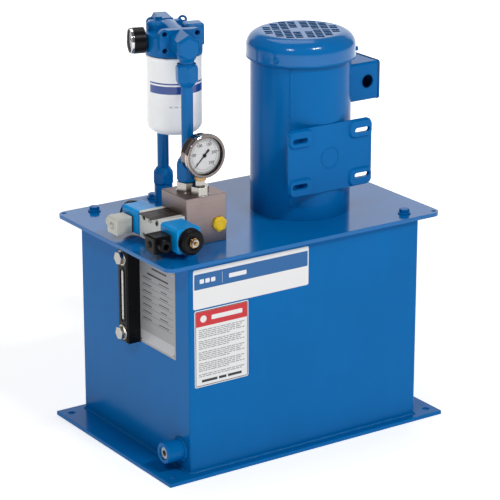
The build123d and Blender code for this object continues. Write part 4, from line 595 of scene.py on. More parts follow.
# ---------------------------------------------------------------- steps
class POWERUNIT_OT_finishes(bpy.types.Operator):
    """Make every finish and give each solid its own"""

    bl_idname = "power_unit.finishes"
    bl_label = "Finishes"

    def execute(self, context):
        colours = context.scene.power_unit_colours
        edge = context.scene.power_unit_trim.edge_radius
        blue = enamel_finish("blue enamel", colours.enamel, edge=edge)
        cover = enamel_finish("cover enamel", colours.enamel, rough=0.10, edge=edge, peel=0.15,
                              gloss=1.40)
        dress(blue, "base_plate", "tank_walls", "cover_bolts", "motor_frame", "motor_lower_bell",
              "motor_upper_bell", "motor_foot", "conduit_box", "conduit_box_cover")
        # painted shade: the fittings get a darker copy of the same blue enamel, which offsets their
        # stronger reflection
        fitting = enamel_finish("fitting enamel", shaded(colours.enamel, 0.92), rough=0.12, edge=edge,
                                peel=0.2, gloss=1.24)
        dress(fitting, "filter_head", "filter_elbows", "riser_tubes", "tube_nuts", "return_flange")
        dress(cover, "cover_plate", "motor_fan_cover")
        dress(rubber_finish("gasket rubber", (0.02, 0.02, 0.022)), "cover_gasket")
        dress(rubber_finish("spider rubber", (0.30, 0.03, 0.02)), "coupling_spider")
        block = machined_finish("block steel", (0.43, 0.34, 0.32), (9.0, 9.0, 520.0), rough=0.36)
        dress(block, "manifold_block")
        dress(machined_finish("valve steel", (0.80, 0.81, 0.76), (400.0, 30.0, 30.0), rough=0.40,
                              metal=0.35),
              "valve_body")
        zinc = plated_finish("zinc plate", (0.46, 0.44, 0.41), 0.17)
        dress(zinc, "port_adapters", "level_gauge_bolts", "relief_valve", "core_tubes")
        dress(plated_finish("bright chrome", (0.66, 0.65, 0.66), 0.07, 0.05), "breather_cap")
        # painted reflection: the case's chrome is darkened and browned to stand in for the dark brown
        # surroundings it reflects
        dress(plated_finish("case chrome with painted reflection", (0.20, 0.165, 0.155), 0.10, 0.08), "gauge_case")
        dress(plated_finish("plain brass", (0.46, 0.28, 0.12), 0.20), "gauge_stem",
              "override_pin_front", "override_pin_rear")
        steel = machined_finish("turned steel", (0.42, 0.42, 0.44), (60.0, 60.0, 900.0), rough=0.3)
        dress(steel, "motor_shaft", "motor_bearings", "pump_drive_gear", "pump_driven_gear",
              "valve_spool", "pressure_tube", "inner_bolts", "suction_strainer", "drain_plug")
        dress(machined_finish("black oxide", (0.03, 0.03, 0.03), (60.0, 60.0, 900.0), 0.35),
              "valve_bolts")
        dress(lamination_finish(), "stator_core")
        dress(winding_finish(), "stator_windings")
        dress(cast_finish("rotor aluminium", (0.55, 0.55, 0.57), 0.45), "rotor_core")
        dress(cast_finish("pump aluminium", (0.58, 0.59, 0.60), 0.5), "pump_adapter", "pump_body",
              "pump_front_cover")
        dress(cast_finish("hub iron", (0.10, 0.10, 0.11), 0.55), "coupling_hubs")
        black = moulded_finish("black moulding", (0.004, 0.004, 0.005), 0.24, 0.15, gloss=1.24)
        dress(black, "level_gauge_housing", "coil_nuts", "connector_black", "indicator_case",
              "motor_fan")
        dress(moulded_finish("needle black", (0.002, 0.002, 0.002), 0.6, 0.05), "gauge_needle",
              "indicator_needle")
        dress(moulded_finish("grey moulding", (0.56, 0.56, 0.51), 0.45, 0.3), "connector_grey")
        dress(moulded_finish("coil moulding", colours.coil, 0.20, 0.06, 900.0, 0.0, 0.0012, 1.26),
              "valve_coils")
        dress(moulded_finish("plug moulding", colours.plug, 0.3, 0.1, 900.0, 0.2), "port_plug")
        low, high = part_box("filter_canister")
        dress(canister_finish(colours.canister, colours.stripe, low.z, high.z), "filter_canister")
        dress(paper_finish(), "filter_element")
        dress(clear_finish("clear lens"), "gauge_lenses")
        dress(clear_finish("amber window", (0.60, 0.52, 0.36), 0.3), "level_gauge_window")
        return {"FINISHED"}


class POWERUNIT_OT_welds(bpy.types.Operator):
    """Run the weld beads round the tank, the drain boss and down the motor frame"""

    bl_idname = "power_unit.welds"
    bl_label = "Welds"

    def execute(self, context):
        size = context.scene.power_unit_trim.weld_size
        blue = finish_named("blue enamel")
        _, plate_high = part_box("base_plate")
        _, wall_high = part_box("tank_walls")
        half_x, half_y = wall_high.x, wall_high.y
        floor_z = plate_high.z
        outline = rounded_outline(2 * half_x, 2 * half_y, 4 * MM, 4)
        path, free = [], []
        count = len(outline)
        for index, (x, y) in enumerate(outline):
            nx, ny = outline[(index + 1) % count]
            here, there = Vector((x, y, floor_z)), Vector((nx, ny, floor_z))
            parts = max(1, int((there - here).length / 0.0011))
            for part in range(parts):
                point = here.lerp(there, part / parts)
                sideways = Vector((x, y, 0)).normalized() if parts == 1 else \
                    (there - here).normalized().cross(Vector((0, 0, 1)))
                path.append(point)
                free.append((sideways, Vector((0, 0, 1))))
        bm = bmesh.new()
        weld_bead(bm, path, size, 0.0042, free)
        piece("tank_base_weld", bm, blue, sharp=60)

        drain, _, _ = span("drain_plug")
        centre = Vector((-half_x, drain.y, drain.z))
        bm = bmesh.new()
        ring, free = [], []
        for step in range(140):
            angle = 2 * math.pi * step / 140
            away = Vector((0, math.cos(angle), math.sin(angle)))
            ring.append(centre + away * DRAIN_BOSS_RADIUS)
            free.append((away, Vector((-1, 0, 0))))
        weld_bead(bm, ring, size * 1.1, 0.004, free)
        piece("drain_boss_weld", bm, blue, sharp=60)

        frame_low, frame_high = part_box("motor_frame")
        axis = (frame_low + frame_high) / 2
        radius = (frame_high.x - frame_low.x) / 2
        away = spoke(SEAM_FACING)
        side = Vector((-away.y, away.x, 0))
        bm = bmesh.new()
        rows = []
        steps = 150
        for index in range(steps + 1):
            z = frame_low.z + 2 * MM + (frame_high.z - frame_low.z - 4 * MM) * index / steps
            swell = 1 + 0.12 * math.sin(index * 1.9) + 0.10 * math.sin(index * 0.7)
            row = []
            for step in range(5):
                lift = math.sin(math.pi * step / 4)
                across = (step / 4 - 0.5) * 6.5 * MM * swell
                row.append(bm.verts.new(Vector((axis.x, axis.y, z)) + side * across
                                        + away * (radius - 0.4 * MM + 1.7 * MM * lift * swell)))
            rows.append(row)
        for first, second in zip(rows, rows[1:]):
            for step in range(4):
                bm.faces.new((first[step], first[step + 1], second[step + 1], second[step]))
        piece("motor_seam_weld", bm, blue, sharp=60)
        return {"FINISHED"}


class POWERUNIT_OT_labels(bpy.types.Operator):
    """Lay the two front labels and the end wall's data plate, with plain bars for their print"""

    bl_idname = "power_unit.labels"
    bl_label = "Labels"

    def execute(self, context):
        trim = context.scene.power_unit_trim
        colours = context.scene.power_unit_colours
        wall_low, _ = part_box("tank_walls")
        front = wall_low.y
        white = printed_finish("label white", (0.82, 0.82, 0.82))
        band_blue = printed_finish("label blue", shaded(colours.enamel, 0.8))
        red = printed_finish("label red", colours.notice)
        black = printed_finish("label black", (0.012, 0.012, 0.014))
        grey = printed_finish("label grey", (0.30, 0.30, 0.31))

        def on_front(x, z):
            return turned((x, front, z), (0, -1, 0))

        def bar(bm, place, x, y, width, height, low_z, high_z, corner=0.0003):
            moved = place @ Matrix.Translation((x, y, 0))
            slab(bm, moved, rounded_outline(width, height, corner, 2), low_z, high_z)

        centre = on_front(BANNER_LEFT + trim.band_length / 2, BANNER_BOTTOM + trim.band_height / 2)
        bm = bmesh.new()
        slab(bm, centre, rounded_outline(trim.band_length, trim.band_height, 0.003), 0.00005, 0.00030,
             0.0001)
        piece("banner_label", bm, white)
        bm = bmesh.new()
        blue_height = trim.band_height * 0.39
        blue_y = trim.band_height / 2 - trim.band_height * 0.115 - blue_height / 2
        bar(bm, centre, 0, blue_y, trim.band_length - 0.004, blue_height, 0.0003, 0.00038, 0.001)
        piece("banner_band", bm, band_blue)
        bm = bmesh.new()
        left = -trim.band_length / 2
        bar(bm, centre, left + 0.054, blue_y, 0.00045, blue_height * 0.72, 0.00038, 0.00043, 0.0001)
        for start, width in ((0.012, 0.008), (0.0225, 0.008), (0.033, 0.008), (0.0665, 0.033)):
            bar(bm, centre, left + start + width / 2, blue_y, width, blue_height * 0.28, 0.00038,
                0.00043, 0.0012)
        piece("banner_bars", bm, white)

        notice_centre = on_front(NOTICE_LEFT + trim.notice_width / 2,
                                 NOTICE_BOTTOM + trim.notice_height / 2)
        width, height = trim.notice_width, trim.notice_height
        bm = bmesh.new()
        slab(bm, notice_centre, rounded_outline(width, height, 0.003), 0.00005, 0.0003, 0.0001)
        piece("notice_label", bm, white)
        bm = bmesh.new()
        frame_ring(bm, notice_centre, rounded_outline(width - 0.003, height - 0.003, 0.002),
                   rounded_outline(width - 0.0052, height - 0.0052, 0.001), 0.0003, 0.00036)
        foot_y = -height / 2 + 0.0095
        for start, bar_width in ((0.013, 0.029), (0.045, 0.014), (0.062, 0.026)):
            bar(bm, notice_centre, -width / 2 + start + bar_width / 2, foot_y, bar_width, 0.0042,
                0.0003,
                0.00036)
        piece("notice_border", bm, black)
        bm = bmesh.new()
        header = 0.0245
        bar(bm, notice_centre, 0, height / 2 - 0.0028 - header / 2, width - 0.0056, header, 0.0003,
            0.00038, 0.0008)
        piece("notice_header", bm, red)
        bm = bmesh.new()
        header_y = height / 2 - 0.0028 - header / 2
        bar(bm, notice_centre, 0.010, header_y, 0.058, 0.0075, 0.00038, 0.00043, 0.0015)
        slab(bm, notice_centre @ Matrix.Translation((-0.034, header_y, 0)),
             polygon(24, 0.0115), 0.00038, 0.00043)
        piece("notice_header_bars", bm, white)
        bm = bmesh.new()
        row, line_y = 0, height / 2 - 0.0028 - header - 0.006
        while line_y > foot_y + 0.006:
            if row % 6 != 5:
                start = -width / 2 + 0.0075
                last = width / 2 - 0.0075 - (0.028 if row % 6 == 4 else 0.004 * ((row * 7) % 3))
                cursor = start
                word = 0
                while cursor < last - 0.003:
                    length = 0.004 + 0.0022 * ((row * 5 + word * 3) % 4)
                    length = min(length, last - cursor)
                    bar(bm, notice_centre, cursor + length / 2, line_y, length, 0.0015, 0.0003, 0.00034,
                        0.0002)
                    cursor += length + 0.0014
                    word += 1
            line_y -= 0.0031
            row += 1
        piece("notice_lines", bm, grey)

        gauge_low, gauge_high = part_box("level_gauge_housing")
        plate = turned((gauge_high.x, gauge_low.y + 1.4 * MM - trim.plate_width / 2,
                        DATA_PLATE_BOTTOM + trim.plate_height / 2), (-1, 0, 0))
        silver = printed_finish("plate silver", (0.34, 0.34, 0.35), 0.28)
        pale = printed_finish("plate pale", (0.50, 0.50, 0.52), 0.3)
        bm = bmesh.new()
        slab(bm, plate, rounded_outline(trim.plate_width, trim.plate_height, 0.0025), 0.00005, 0.0005,
             0.00015)
        piece("data_plate", bm, silver)
        bm = bmesh.new()
        strip_y = -trim.plate_height / 2 + 0.013
        bar(bm, plate, 0, strip_y, trim.plate_width - 0.006, 0.019, 0.0005, 0.00056, 0.001)
        piece("data_plate_strip", bm, pale)
        bm = bmesh.new()
        for row in range(9):
            line_y = trim.plate_height / 2 - 0.012 - row * 0.0115
            if row < 2:
                bar(bm, plate, 0.006 - row * 0.004, line_y, 0.044 + row * 0.018, 0.0032, 0.0005,
                    0.00055)
            else:
                bar(bm, plate, 0, line_y, trim.plate_width - 0.014, 0.0005, 0.0005, 0.00055, 0.0001)
                bar(bm, plate, -0.030, line_y + 0.0035, 0.026, 0.0016, 0.0005, 0.00055)
                bar(bm, plate, 0.020, line_y + 0.0035, 0.018 + 0.006 * (row % 3), 0.0016, 0.0005,
                    0.00055)
        piece("data_plate_lines", bm, black)
        bm = bmesh.new()
        for sx, sy in CORNERS:
            rivet = plate @ Matrix.Translation((sx * (trim.plate_width / 2 - 0.005),
                                                sy * (trim.plate_height / 2 - 0.005), 0.0004))
            lathe(bm, rivet, [(0.0022, 0), (0.0021, 0.0005), (0.0013, 0.0010), (0, 0.0012)], 20)
        piece("data_plate_rivets", bm, finish_named("zinc plate"))
        return {"FINISHED"}


class POWERUNIT_OT_level_gauge(bpy.types.Operator):
    """Fit the level gauge with its lip, scale strip, ticks and washers"""

    bl_idname = "power_unit.level_gauge"
    bl_label = "Level gauge"

    def execute(self, context):
        centre, low, high = span("level_gauge_window")
        _, bolt_low, bolt_high = span("level_gauge_bolts")
        _, face, _ = span("level_gauge_housing")
        white = printed_finish("scale white", (0.80, 0.80, 0.78), 0.4, 0.0)
        black = finish_named("label black")
        plate = turned((face.x, centre.y, centre.z), (-1, 0, 0))
        length = high.z - low.z
        bm = bmesh.new()
        outer = rounded_outline(0.0145, length + 0.006, 0.007, 8)
        inner = rounded_outline(0.0098, length + 0.0012, 0.0048, 8)
        frame_ring(bm, plate, outer, inner, -0.0002, 0.0009)
        piece("level_gauge_lip", bm, finish_named("black moulding"))
        bm = bmesh.new()
        slab(bm, plate, rounded_outline(0.0042, length - 0.006, 0.001, 3),
             -0.0007, -0.0004)
        piece("level_gauge_scale", bm, white)
        bm = bmesh.new()
        for tick in range(9):
            place = plate @ Matrix.Translation((0, -length / 2 + 0.008 + tick * (length - 0.016) / 8,
                                                0))
            slab(bm, place, rounded_outline(0.0034 if tick % 4 == 0 else 0.002, 0.0006, 0.0001, 2),
                 -0.0004, -0.00032)
        piece("level_gauge_ticks", bm, black)
        bm = bmesh.new()
        for z in (bolt_high.z - 0.011, bolt_low.z + 0.011):
            ring = turned((face.x, centre.y, z), (-1, 0, 0))
            closed_lathe(bm, ring, [(0.0066, 0.0001), (0.0125, 0.0001), (0.0125, 0.0009),
                                    (0.0120, 0.0013), (0.0066, 0.0013)], 40)
        piece("level_gauge_washers", bm, finish_named("zinc plate"))
        return {"FINISHED"}


class POWERUNIT_OT_motor(bpy.types.Operator):
    """Fit the fan cover's screws, the conduit box's gasket, knock-out and cover screws"""

    bl_idname = "power_unit.motor"
    bl_label = "Motor trim"

    def execute(self, context):
        blue = finish_named("blue enamel")
        cover, low, high = span("motor_fan_cover")
        radius = (high.x - low.x) / 2
        bm = bmesh.new()
        for degrees in (-31.0, 89.0, 209.0):
            angle = math.radians(degrees)
            away = spoke(angle)
            place = turned(Vector((cover.x, cover.y, low.z + 9.5 * MM)) + away * radius, away)
            lathe(bm, place, [(0.0050, -0.0012), (0.0050, 0.0004), (0.0044, 0.0010), (0.0030, 0.0011)],
                  32)
            slab(bm, place, polygon(6, 0.0064, 0.2), 0.0008, 0.0038, 0.0005)
        piece("fan_cover_screws", bm, blue)
        bm = bmesh.new()
        band = turned((cover.x, cover.y, 0), (0, 0, 1))
        closed_lathe(bm, band, [(radius - 0.0018, low.z - 0.0002), (radius + 0.0004, low.z),
                                (radius + 0.0006, low.z + 0.0011), (radius, low.z + 0.0022),
                                (radius - 0.0018, low.z + 0.0018)], 96)
        piece("fan_cover_hem", bm, blue)

        box, box_low, box_high = span("conduit_box_cover")
        side = turned((box_low.x, box.y, box.z), (1, 0, 0))
        width, height = box_high.y - box_low.y, box_high.z - box_low.z
        bm = bmesh.new()
        frame_ring(bm, side, rounded_outline(width - 0.0002, height - 0.0002, 0.005),
                   rounded_outline(width - 0.012, height - 0.012, 0.003), -0.0012, -0.00002)
        piece("conduit_gasket", bm, finish_named("gasket rubber"))
        bm = bmesh.new()
        for sy, sz in CORNERS:
            place = side @ Matrix.Translation((sy * (width / 2 - 0.0065), sz * (height / 2 - 0.0065),
                                               box_high.x - box_low.x))
            lathe(bm, place, [(0.0041, -0.0012), (0.0041, -0.0002), (0.0030, 0.0006), (0, 0.0008)], 24)
        piece("conduit_cover_screws", bm, blue)
        entry = turned((CONDUIT_ENTRY_X, CONDUIT_ENTRY_Y, box.z), (0, -1, 0))
        bm = bmesh.new()
        closed_lathe(bm, entry, [(0.0112, -0.0024), (0.0112, 0.0004), (0.0118, 0.0007),
                                 (0.0134, 0.0004), (0.0138, -0.0001)], 48)
        piece("conduit_entry_rim", bm, blue)
        return {"FINISHED"}


class POWERUNIT_OT_valve(bpy.types.Operator):
    """Fit the valve's nameplate, coil seals, centre screw and knob faces"""

    bl_idname = "power_unit.valve"
    bl_label = "Valve trim"

    def execute(self, context):
        zinc = finish_named("zinc plate")
        black = finish_named("black moulding")
        body, low, high = span("valve_body")
        top = turned((body.x, body.y, high.z), (0, 0, 1))
        width, length = high.x - low.x, high.y - low.y
        plate = machined_finish("nameplate brown", (0.045, 0.030, 0.028), (500.0, 20.0, 20.0), 0.36,
                                0.6)
        bm = bmesh.new()
        slab(bm, top, rounded_outline(length - 0.002, width - 0.0022, 0.001), 0.0, 0.0006, 0.0002)
        piece("valve_nameplate", bm, plate)
        bm = bmesh.new()
        for row, wide in enumerate((0.022, 0.018, 0.026)):
            slab(bm, top @ Matrix.Translation((-0.014, 0.009 - row * 0.007, 0)),
                 rounded_outline(wide, 0.0012, 0.0003, 2), 0.0006, 0.00066)
        frame_ring(bm, top @ Matrix.Translation((0.016, 0, 0)), rounded_outline(0.020, 0.024, 0.001),
                   rounded_outline(0.0188, 0.0228, 0.0006), 0.0006, 0.00066)
        piece("valve_nameplate_print", bm, printed_finish("plate print", (0.16, 0.14, 0.13)))
        bm = bmesh.new()
        screw = turned((low.x, body.y, high.z - 0.0085), (-1, 0, 0))
        lathe(bm, screw, [(0.0034, 0), (0.0034, 0.0012), (0.0026, 0.0021), (0.0010, 0.0022),
                          (0.0010, 0.0012), (0, 0.0012)], 28)
        piece("valve_plate_screw", bm, zinc)
        bores = [turned((low.x, body.y + away * 0.0185, high.z - 0.0085), (-1, 0, 0)) for away in (-1,
                                                                                                   1)]
        # painted shade: flat black discs over the bore mouths stand in for the dark inside the bores
        bm = bmesh.new()
        for bore in bores:
            lathe(bm, bore, [(0.0036, 0.00005), (0, 0.00005)], 32)
        piece("valve_bore_shade_discs", bm, finish_named("needle black"))
        bm = bmesh.new()
        for bore in bores:
            closed_lathe(bm, bore,
                         [(0.0036, -0.0001), (0.0042, -0.0001), (0.0040, 0.0002), (0.0036, 0.0001)],
                         32)
        piece("valve_bore_rims", bm, finish_named("valve steel"))

        _, coil_low, coil_high = span("valve_coils")
        spool, _, _ = span("valve_spool")
        bm = bmesh.new()
        for side, y in ((-1, coil_low.y), (1, coil_high.y)):
            end = turned((spool.x, y, spool.z), (0, side, 0))
            closed_lathe(bm, end,
                         [(0.0195, -0.0002), (0.0212, -0.0002), (0.0214, 0.0008), (0.0200, 0.0010)],
                         64)
        piece("coil_end_seals", bm, finish_named("gasket rubber"))
        plug, plug_low, _ = span("port_plug")
        cap = turned((plug.x, plug_low.y, plug.z), (0, -1, 0))
        bm = bmesh.new()
        closed_lathe(bm, cap,
                     [(0.0060, -0.0002), (0.0100, -0.0002), (0.0096, 0.0009), (0.0066, 0.0009)], 40)
        for tab in range(6):
            angle = 2 * math.pi * (tab + 0.25) / 6
            away = cap.to_3x3() @ spoke(angle)
            grip = turned(cap.translation + away * 0.0113 + Vector((0, 0.0024, 0)), away, (0, -1, 0))
            slab(bm, grip, rounded_outline(0.0055, 0.0042, 0.0010, 3), -0.0006, 0.0007, 0.0003)
        piece("port_plug_grip", bm, finish_named("plug moulding"), body="port_plug_body")
        _, nut_low, nut_high = span("coil_nuts")
        bm = bmesh.new()
        for side, y in ((-1, nut_low.y), (1, nut_high.y)):
            end = turned((spool.x, y, spool.z), (0, side, 0))
            closed_lathe(bm, end, [(0.0100, -0.0003), (0.0172, -0.0003), (0.0172, 0.0007),
                                   (0.0166, 0.0011),
                                   (0.0112, 0.0011), (0.0100, 0.0004)], 64)
            for tooth in range(24):
                angle = 2 * math.pi * tooth / 24
                away = end.to_3x3() @ spoke(angle)
                rib = turned(end.translation + away * 0.0199 - end.to_3x3() @ Vector((0, 0, 0.0055)),
                             away,
                             end.to_3x3() @ Vector((0, 0, 1)))
                slab(bm, rib, rounded_outline(0.0026, 0.0080, 0.0009, 3), -0.0004, 0.0004, 0.0002)
        piece("coil_nut_grips", bm, black)
        bm = bmesh.new()
        for side, y in ((-1, nut_low.y), (1, nut_high.y)):
            end = turned((spool.x, y, spool.z), (0, side, 0))
            frame_ring(bm, end, polygon(6, 0.0145, 0.3), polygon(6, 0.0108, 0.3), -0.0002, 0.0032)
        piece("override_hex_rings", bm, finish_named("plain brass"))

        for node, side, material in (("connector_grey", 1, finish_named("grey moulding")),
                                     ("connector_black", -1, black)):
            body, low, high = span(node)
            coil_face = coil_low.x
            bm = bmesh.new()
            seal = turned((coil_face, (low.y + high.y) / 2 - side * 0.006, body.z), (-1, 0, 0))
            slab(bm, seal, rounded_outline(0.0275, 0.0268, 0.001), 0.0002, 0.0029, 0.0002)
            piece(f"{node}_seal", bm, finish_named("gasket rubber"))
            bm = bmesh.new()
            house_low = low.y if side > 0 else low.y + 0.013
            house_high = high.y - 0.013 if side > 0 else high.y
            middle = (house_low + house_high) / 2
            screw = turned((low.x + 0.0003, middle, body.z), (-1, 0, 0))
            closed_lathe(bm, screw, [(0.0046, -0.0004), (0.0058, -0.0004), (0.0058, 0.0005),
                                     (0.0046, 0.0005)], 32)
            lathe(bm, screw, [(0.0036, -0.0004), (0.0036, 0.0006), (0.0030, 0.0011), (0, 0.0011)], 28)
            slab(bm, screw, rounded_outline(0.0009, 0.0058, 0.0002, 2), 0.0010, 0.0014)
            for step in (-1, 1):
                rib = turned(((low.x + coil_face) / 2 - 0.0015, house_low if side > 0 else house_high,
                              body.z + step * 0.0085), (0, -side, 0))
                slab(bm, rib, rounded_outline(0.022, 0.0022, 0.0008, 3), -0.0003, 0.0006, 0.0002)
            piece(f"{node}_details", bm, material)
        return {"FINISHED"}


class POWERUNIT_OT_pressure_gauge(bpy.types.Operator):
    """Fit the pressure gauge's dial, ticks, numbers, inner ring and case plug"""

    bl_idname = "power_unit.pressure_gauge"
    bl_label = "Pressure gauge"

    def execute(self, context):
        case, low, high = span("gauge_case")
        radius = (high.x - low.x) / 2
        front = low.y
        dial_depth = 0.0068
        face = turned((case.x, front, case.z), (0, -1, 0))
        white = printed_finish("dial white", (0.84, 0.84, 0.85), 0.35, 0.0)
        black = finish_named("label black")
        bm = bmesh.new()
        lathe(bm, face, [(0, -dial_depth), (radius - 0.0056, -dial_depth)], 96)
        piece("gauge_dial", bm, white)
        bm = bmesh.new()
        closed_lathe(bm, face, [(radius - 0.0060, -dial_depth), (radius - 0.0052, -dial_depth),
                                (radius - 0.0046, -0.0015), (radius - 0.0060, -0.0015)], 96)
        piece("gauge_inner_ring", bm, finish_named("black moulding"))
        bm = bmesh.new()
        for tick in range(51):
            angle = math.radians(225 - 270 * tick / 50)
            long = tick % 10 == 0
            size = (0.0045 if long else (0.0032 if tick % 5 == 0 else 0.0022))
            width = 0.0008 if long else 0.00035
            away = spoke(angle)
            place = face @ Matrix.Translation(away * (radius - 0.0078 - size / 2)) \
                @ Matrix.Rotation(angle, 4, "Z")
            slab(bm, place, rounded_outline(size, width, 0.0001, 2), -dial_depth, -dial_depth + 0.0001)
        for ring, wide in ((0.0128, 0.00025), (0.0079, 0.0003)):
            rim = [(radius - ring, -dial_depth), (radius - ring + wide, -dial_depth),
                   (radius - ring + wide, -dial_depth + 0.0001), (radius - ring, -dial_depth + 0.0001)]
            closed_lathe(bm, face, rim, 96)
        piece("gauge_ticks", bm, black)
        for index in range(6):
            angle = math.radians(225 - 54 * index)
            text = bpy.data.curves.new(f"gauge_number_{index}", "FONT")
            text.body = str(index * 50)
            text.size = 0.0066
            text.offset = 0.0001
            text.align_x = "CENTER"
            text.align_y = "CENTER"
            text.extrude = 0.00005
            text.materials.append(black)
            shown = bpy.data.objects.new(f"gauge_number_{index}", text)
            bpy.context.scene.collection.objects.link(shown)
            away = spoke(angle) * (radius - 0.0168)
            shown.matrix_world = face @ Matrix.Translation(away + Vector((0, 0, -dial_depth + 0.0001)))
            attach(shown, "unit")
        bm = bmesh.new()
        hub = face @ Matrix.Translation((0, 0, -0.0050))
        lathe(bm, hub, [(0.0030, -0.0006), (0.0030, 0.0002), (0.0022, 0.0008), (0, 0.0009)], 32)
        piece("gauge_needle_cap", bm, finish_named("black moulding"), body="gauge_hand")
        bm = bmesh.new()
        closed_lathe(bm, face, [(radius - 0.0030, -0.0004), (radius - 0.0012, 0.0000),
                                (radius - 0.0004, -0.0006), (radius + 0.0002, -0.0030),
                                (radius + 0.0003, -0.0068), (radius - 0.0006, -0.0076),
                                (radius - 0.0030, -0.0070)], 120)
        # painted reflection: the bezel's chrome is darkened and warmed towards the dark brown
        # surroundings it reflects
        piece("gauge_bezel", bm, plated_finish("bezel chrome with painted reflection", (0.50, 0.47, 0.46), 0.06, 0.05))
        bm = bmesh.new()
        top = turned((case.x, (low.y + high.y) / 2 + 0.003, case.z + radius - 0.0045), (0, 0, 1))
        lathe(bm, top, [(0.0058, -0.001), (0.0056, 0.0016), (0.0044, 0.0027), (0, 0.0028)], 32)
        piece("gauge_fill_plug", bm, finish_named("black moulding"))
        return {"FINISHED"}


class POWERUNIT_OT_lines(bpy.types.Operator):
    """Add the cone shoulders, chamfer rings and sealing rings of the tube fittings"""

    bl_idname = "power_unit.lines"
    bl_label = "Line fittings"

    def execute(self, context):
        blue = finish_named("fitting enamel")
        _, block_low, block_high = span("manifold_block")
        _, tube_low, tube_high = span("riser_tubes")
        _, _, nut_high = span("tube_nuts")
        tube = TUBE_RADIUS
        front = Vector((tube_low.x + tube, tube_low.y + tube, 0))
        rear = Vector((tube_high.x - tube, tube_high.y - tube, 0))
        bm = bmesh.new()
        front_base = block_high.z + 16 * MM
        shoulders = ((front, front_base + 34 * MM, 1), (front, nut_high.z - 28.5 * MM, -1),
                     (rear, block_low.z + 43 * MM + 22 * MM, 1), (rear, nut_high.z - 28.5 * MM, -1))
        for spot, z, way in shoulders:
            place = turned((spot.x, spot.y, z), (0, 0, way))
            lathe(bm, place, [(15.6 * MM, -0.0008), (15.5 * MM, 0.0002), (13.6 * MM, 0.0022),
                              (11.6 * MM, 0.0060), (10.4 * MM, 0.0068), (tube - 0.0002, 0.0069)], 48)
        piece("tube_nut_shoulders", bm, blue)
        bm = bmesh.new()
        for spot, z in ((front, nut_high.z), (rear, nut_high.z)):
            place = turned((spot.x, spot.y, z), (0, 0, 1))
            closed_lathe(bm, place, [(12.8 * MM, -0.0002), (14.9 * MM, 0.0001), (15.1 * MM, 0.0010),
                                     (13.0 * MM, 0.0018)], 48)
        piece("elbow_neck_rings", bm, blue)
        zinc = finish_named("zinc plate")
        bm = bmesh.new()
        place = turned((front.x, front.y, block_high.z), (0, 0, 1))
        closed_lathe(bm, place,
                     [(15.0 * MM, 0.0), (18.6 * MM, 0.0), (18.6 * MM, 0.0016), (15.0 * MM, 0.0018)],
                     48)
        gauge, _, _ = span("gauge_stem")
        place = turned((gauge.x, gauge.y, block_high.z), (0, 0, 1))
        closed_lathe(bm, place,
                     [(12.0 * MM, 0.0), (14.9 * MM, 0.0), (14.9 * MM, 0.0012), (12.0 * MM, 0.0014)],
                     48)
        piece("adapter_washers", bm, zinc)
        return {"FINISHED"}


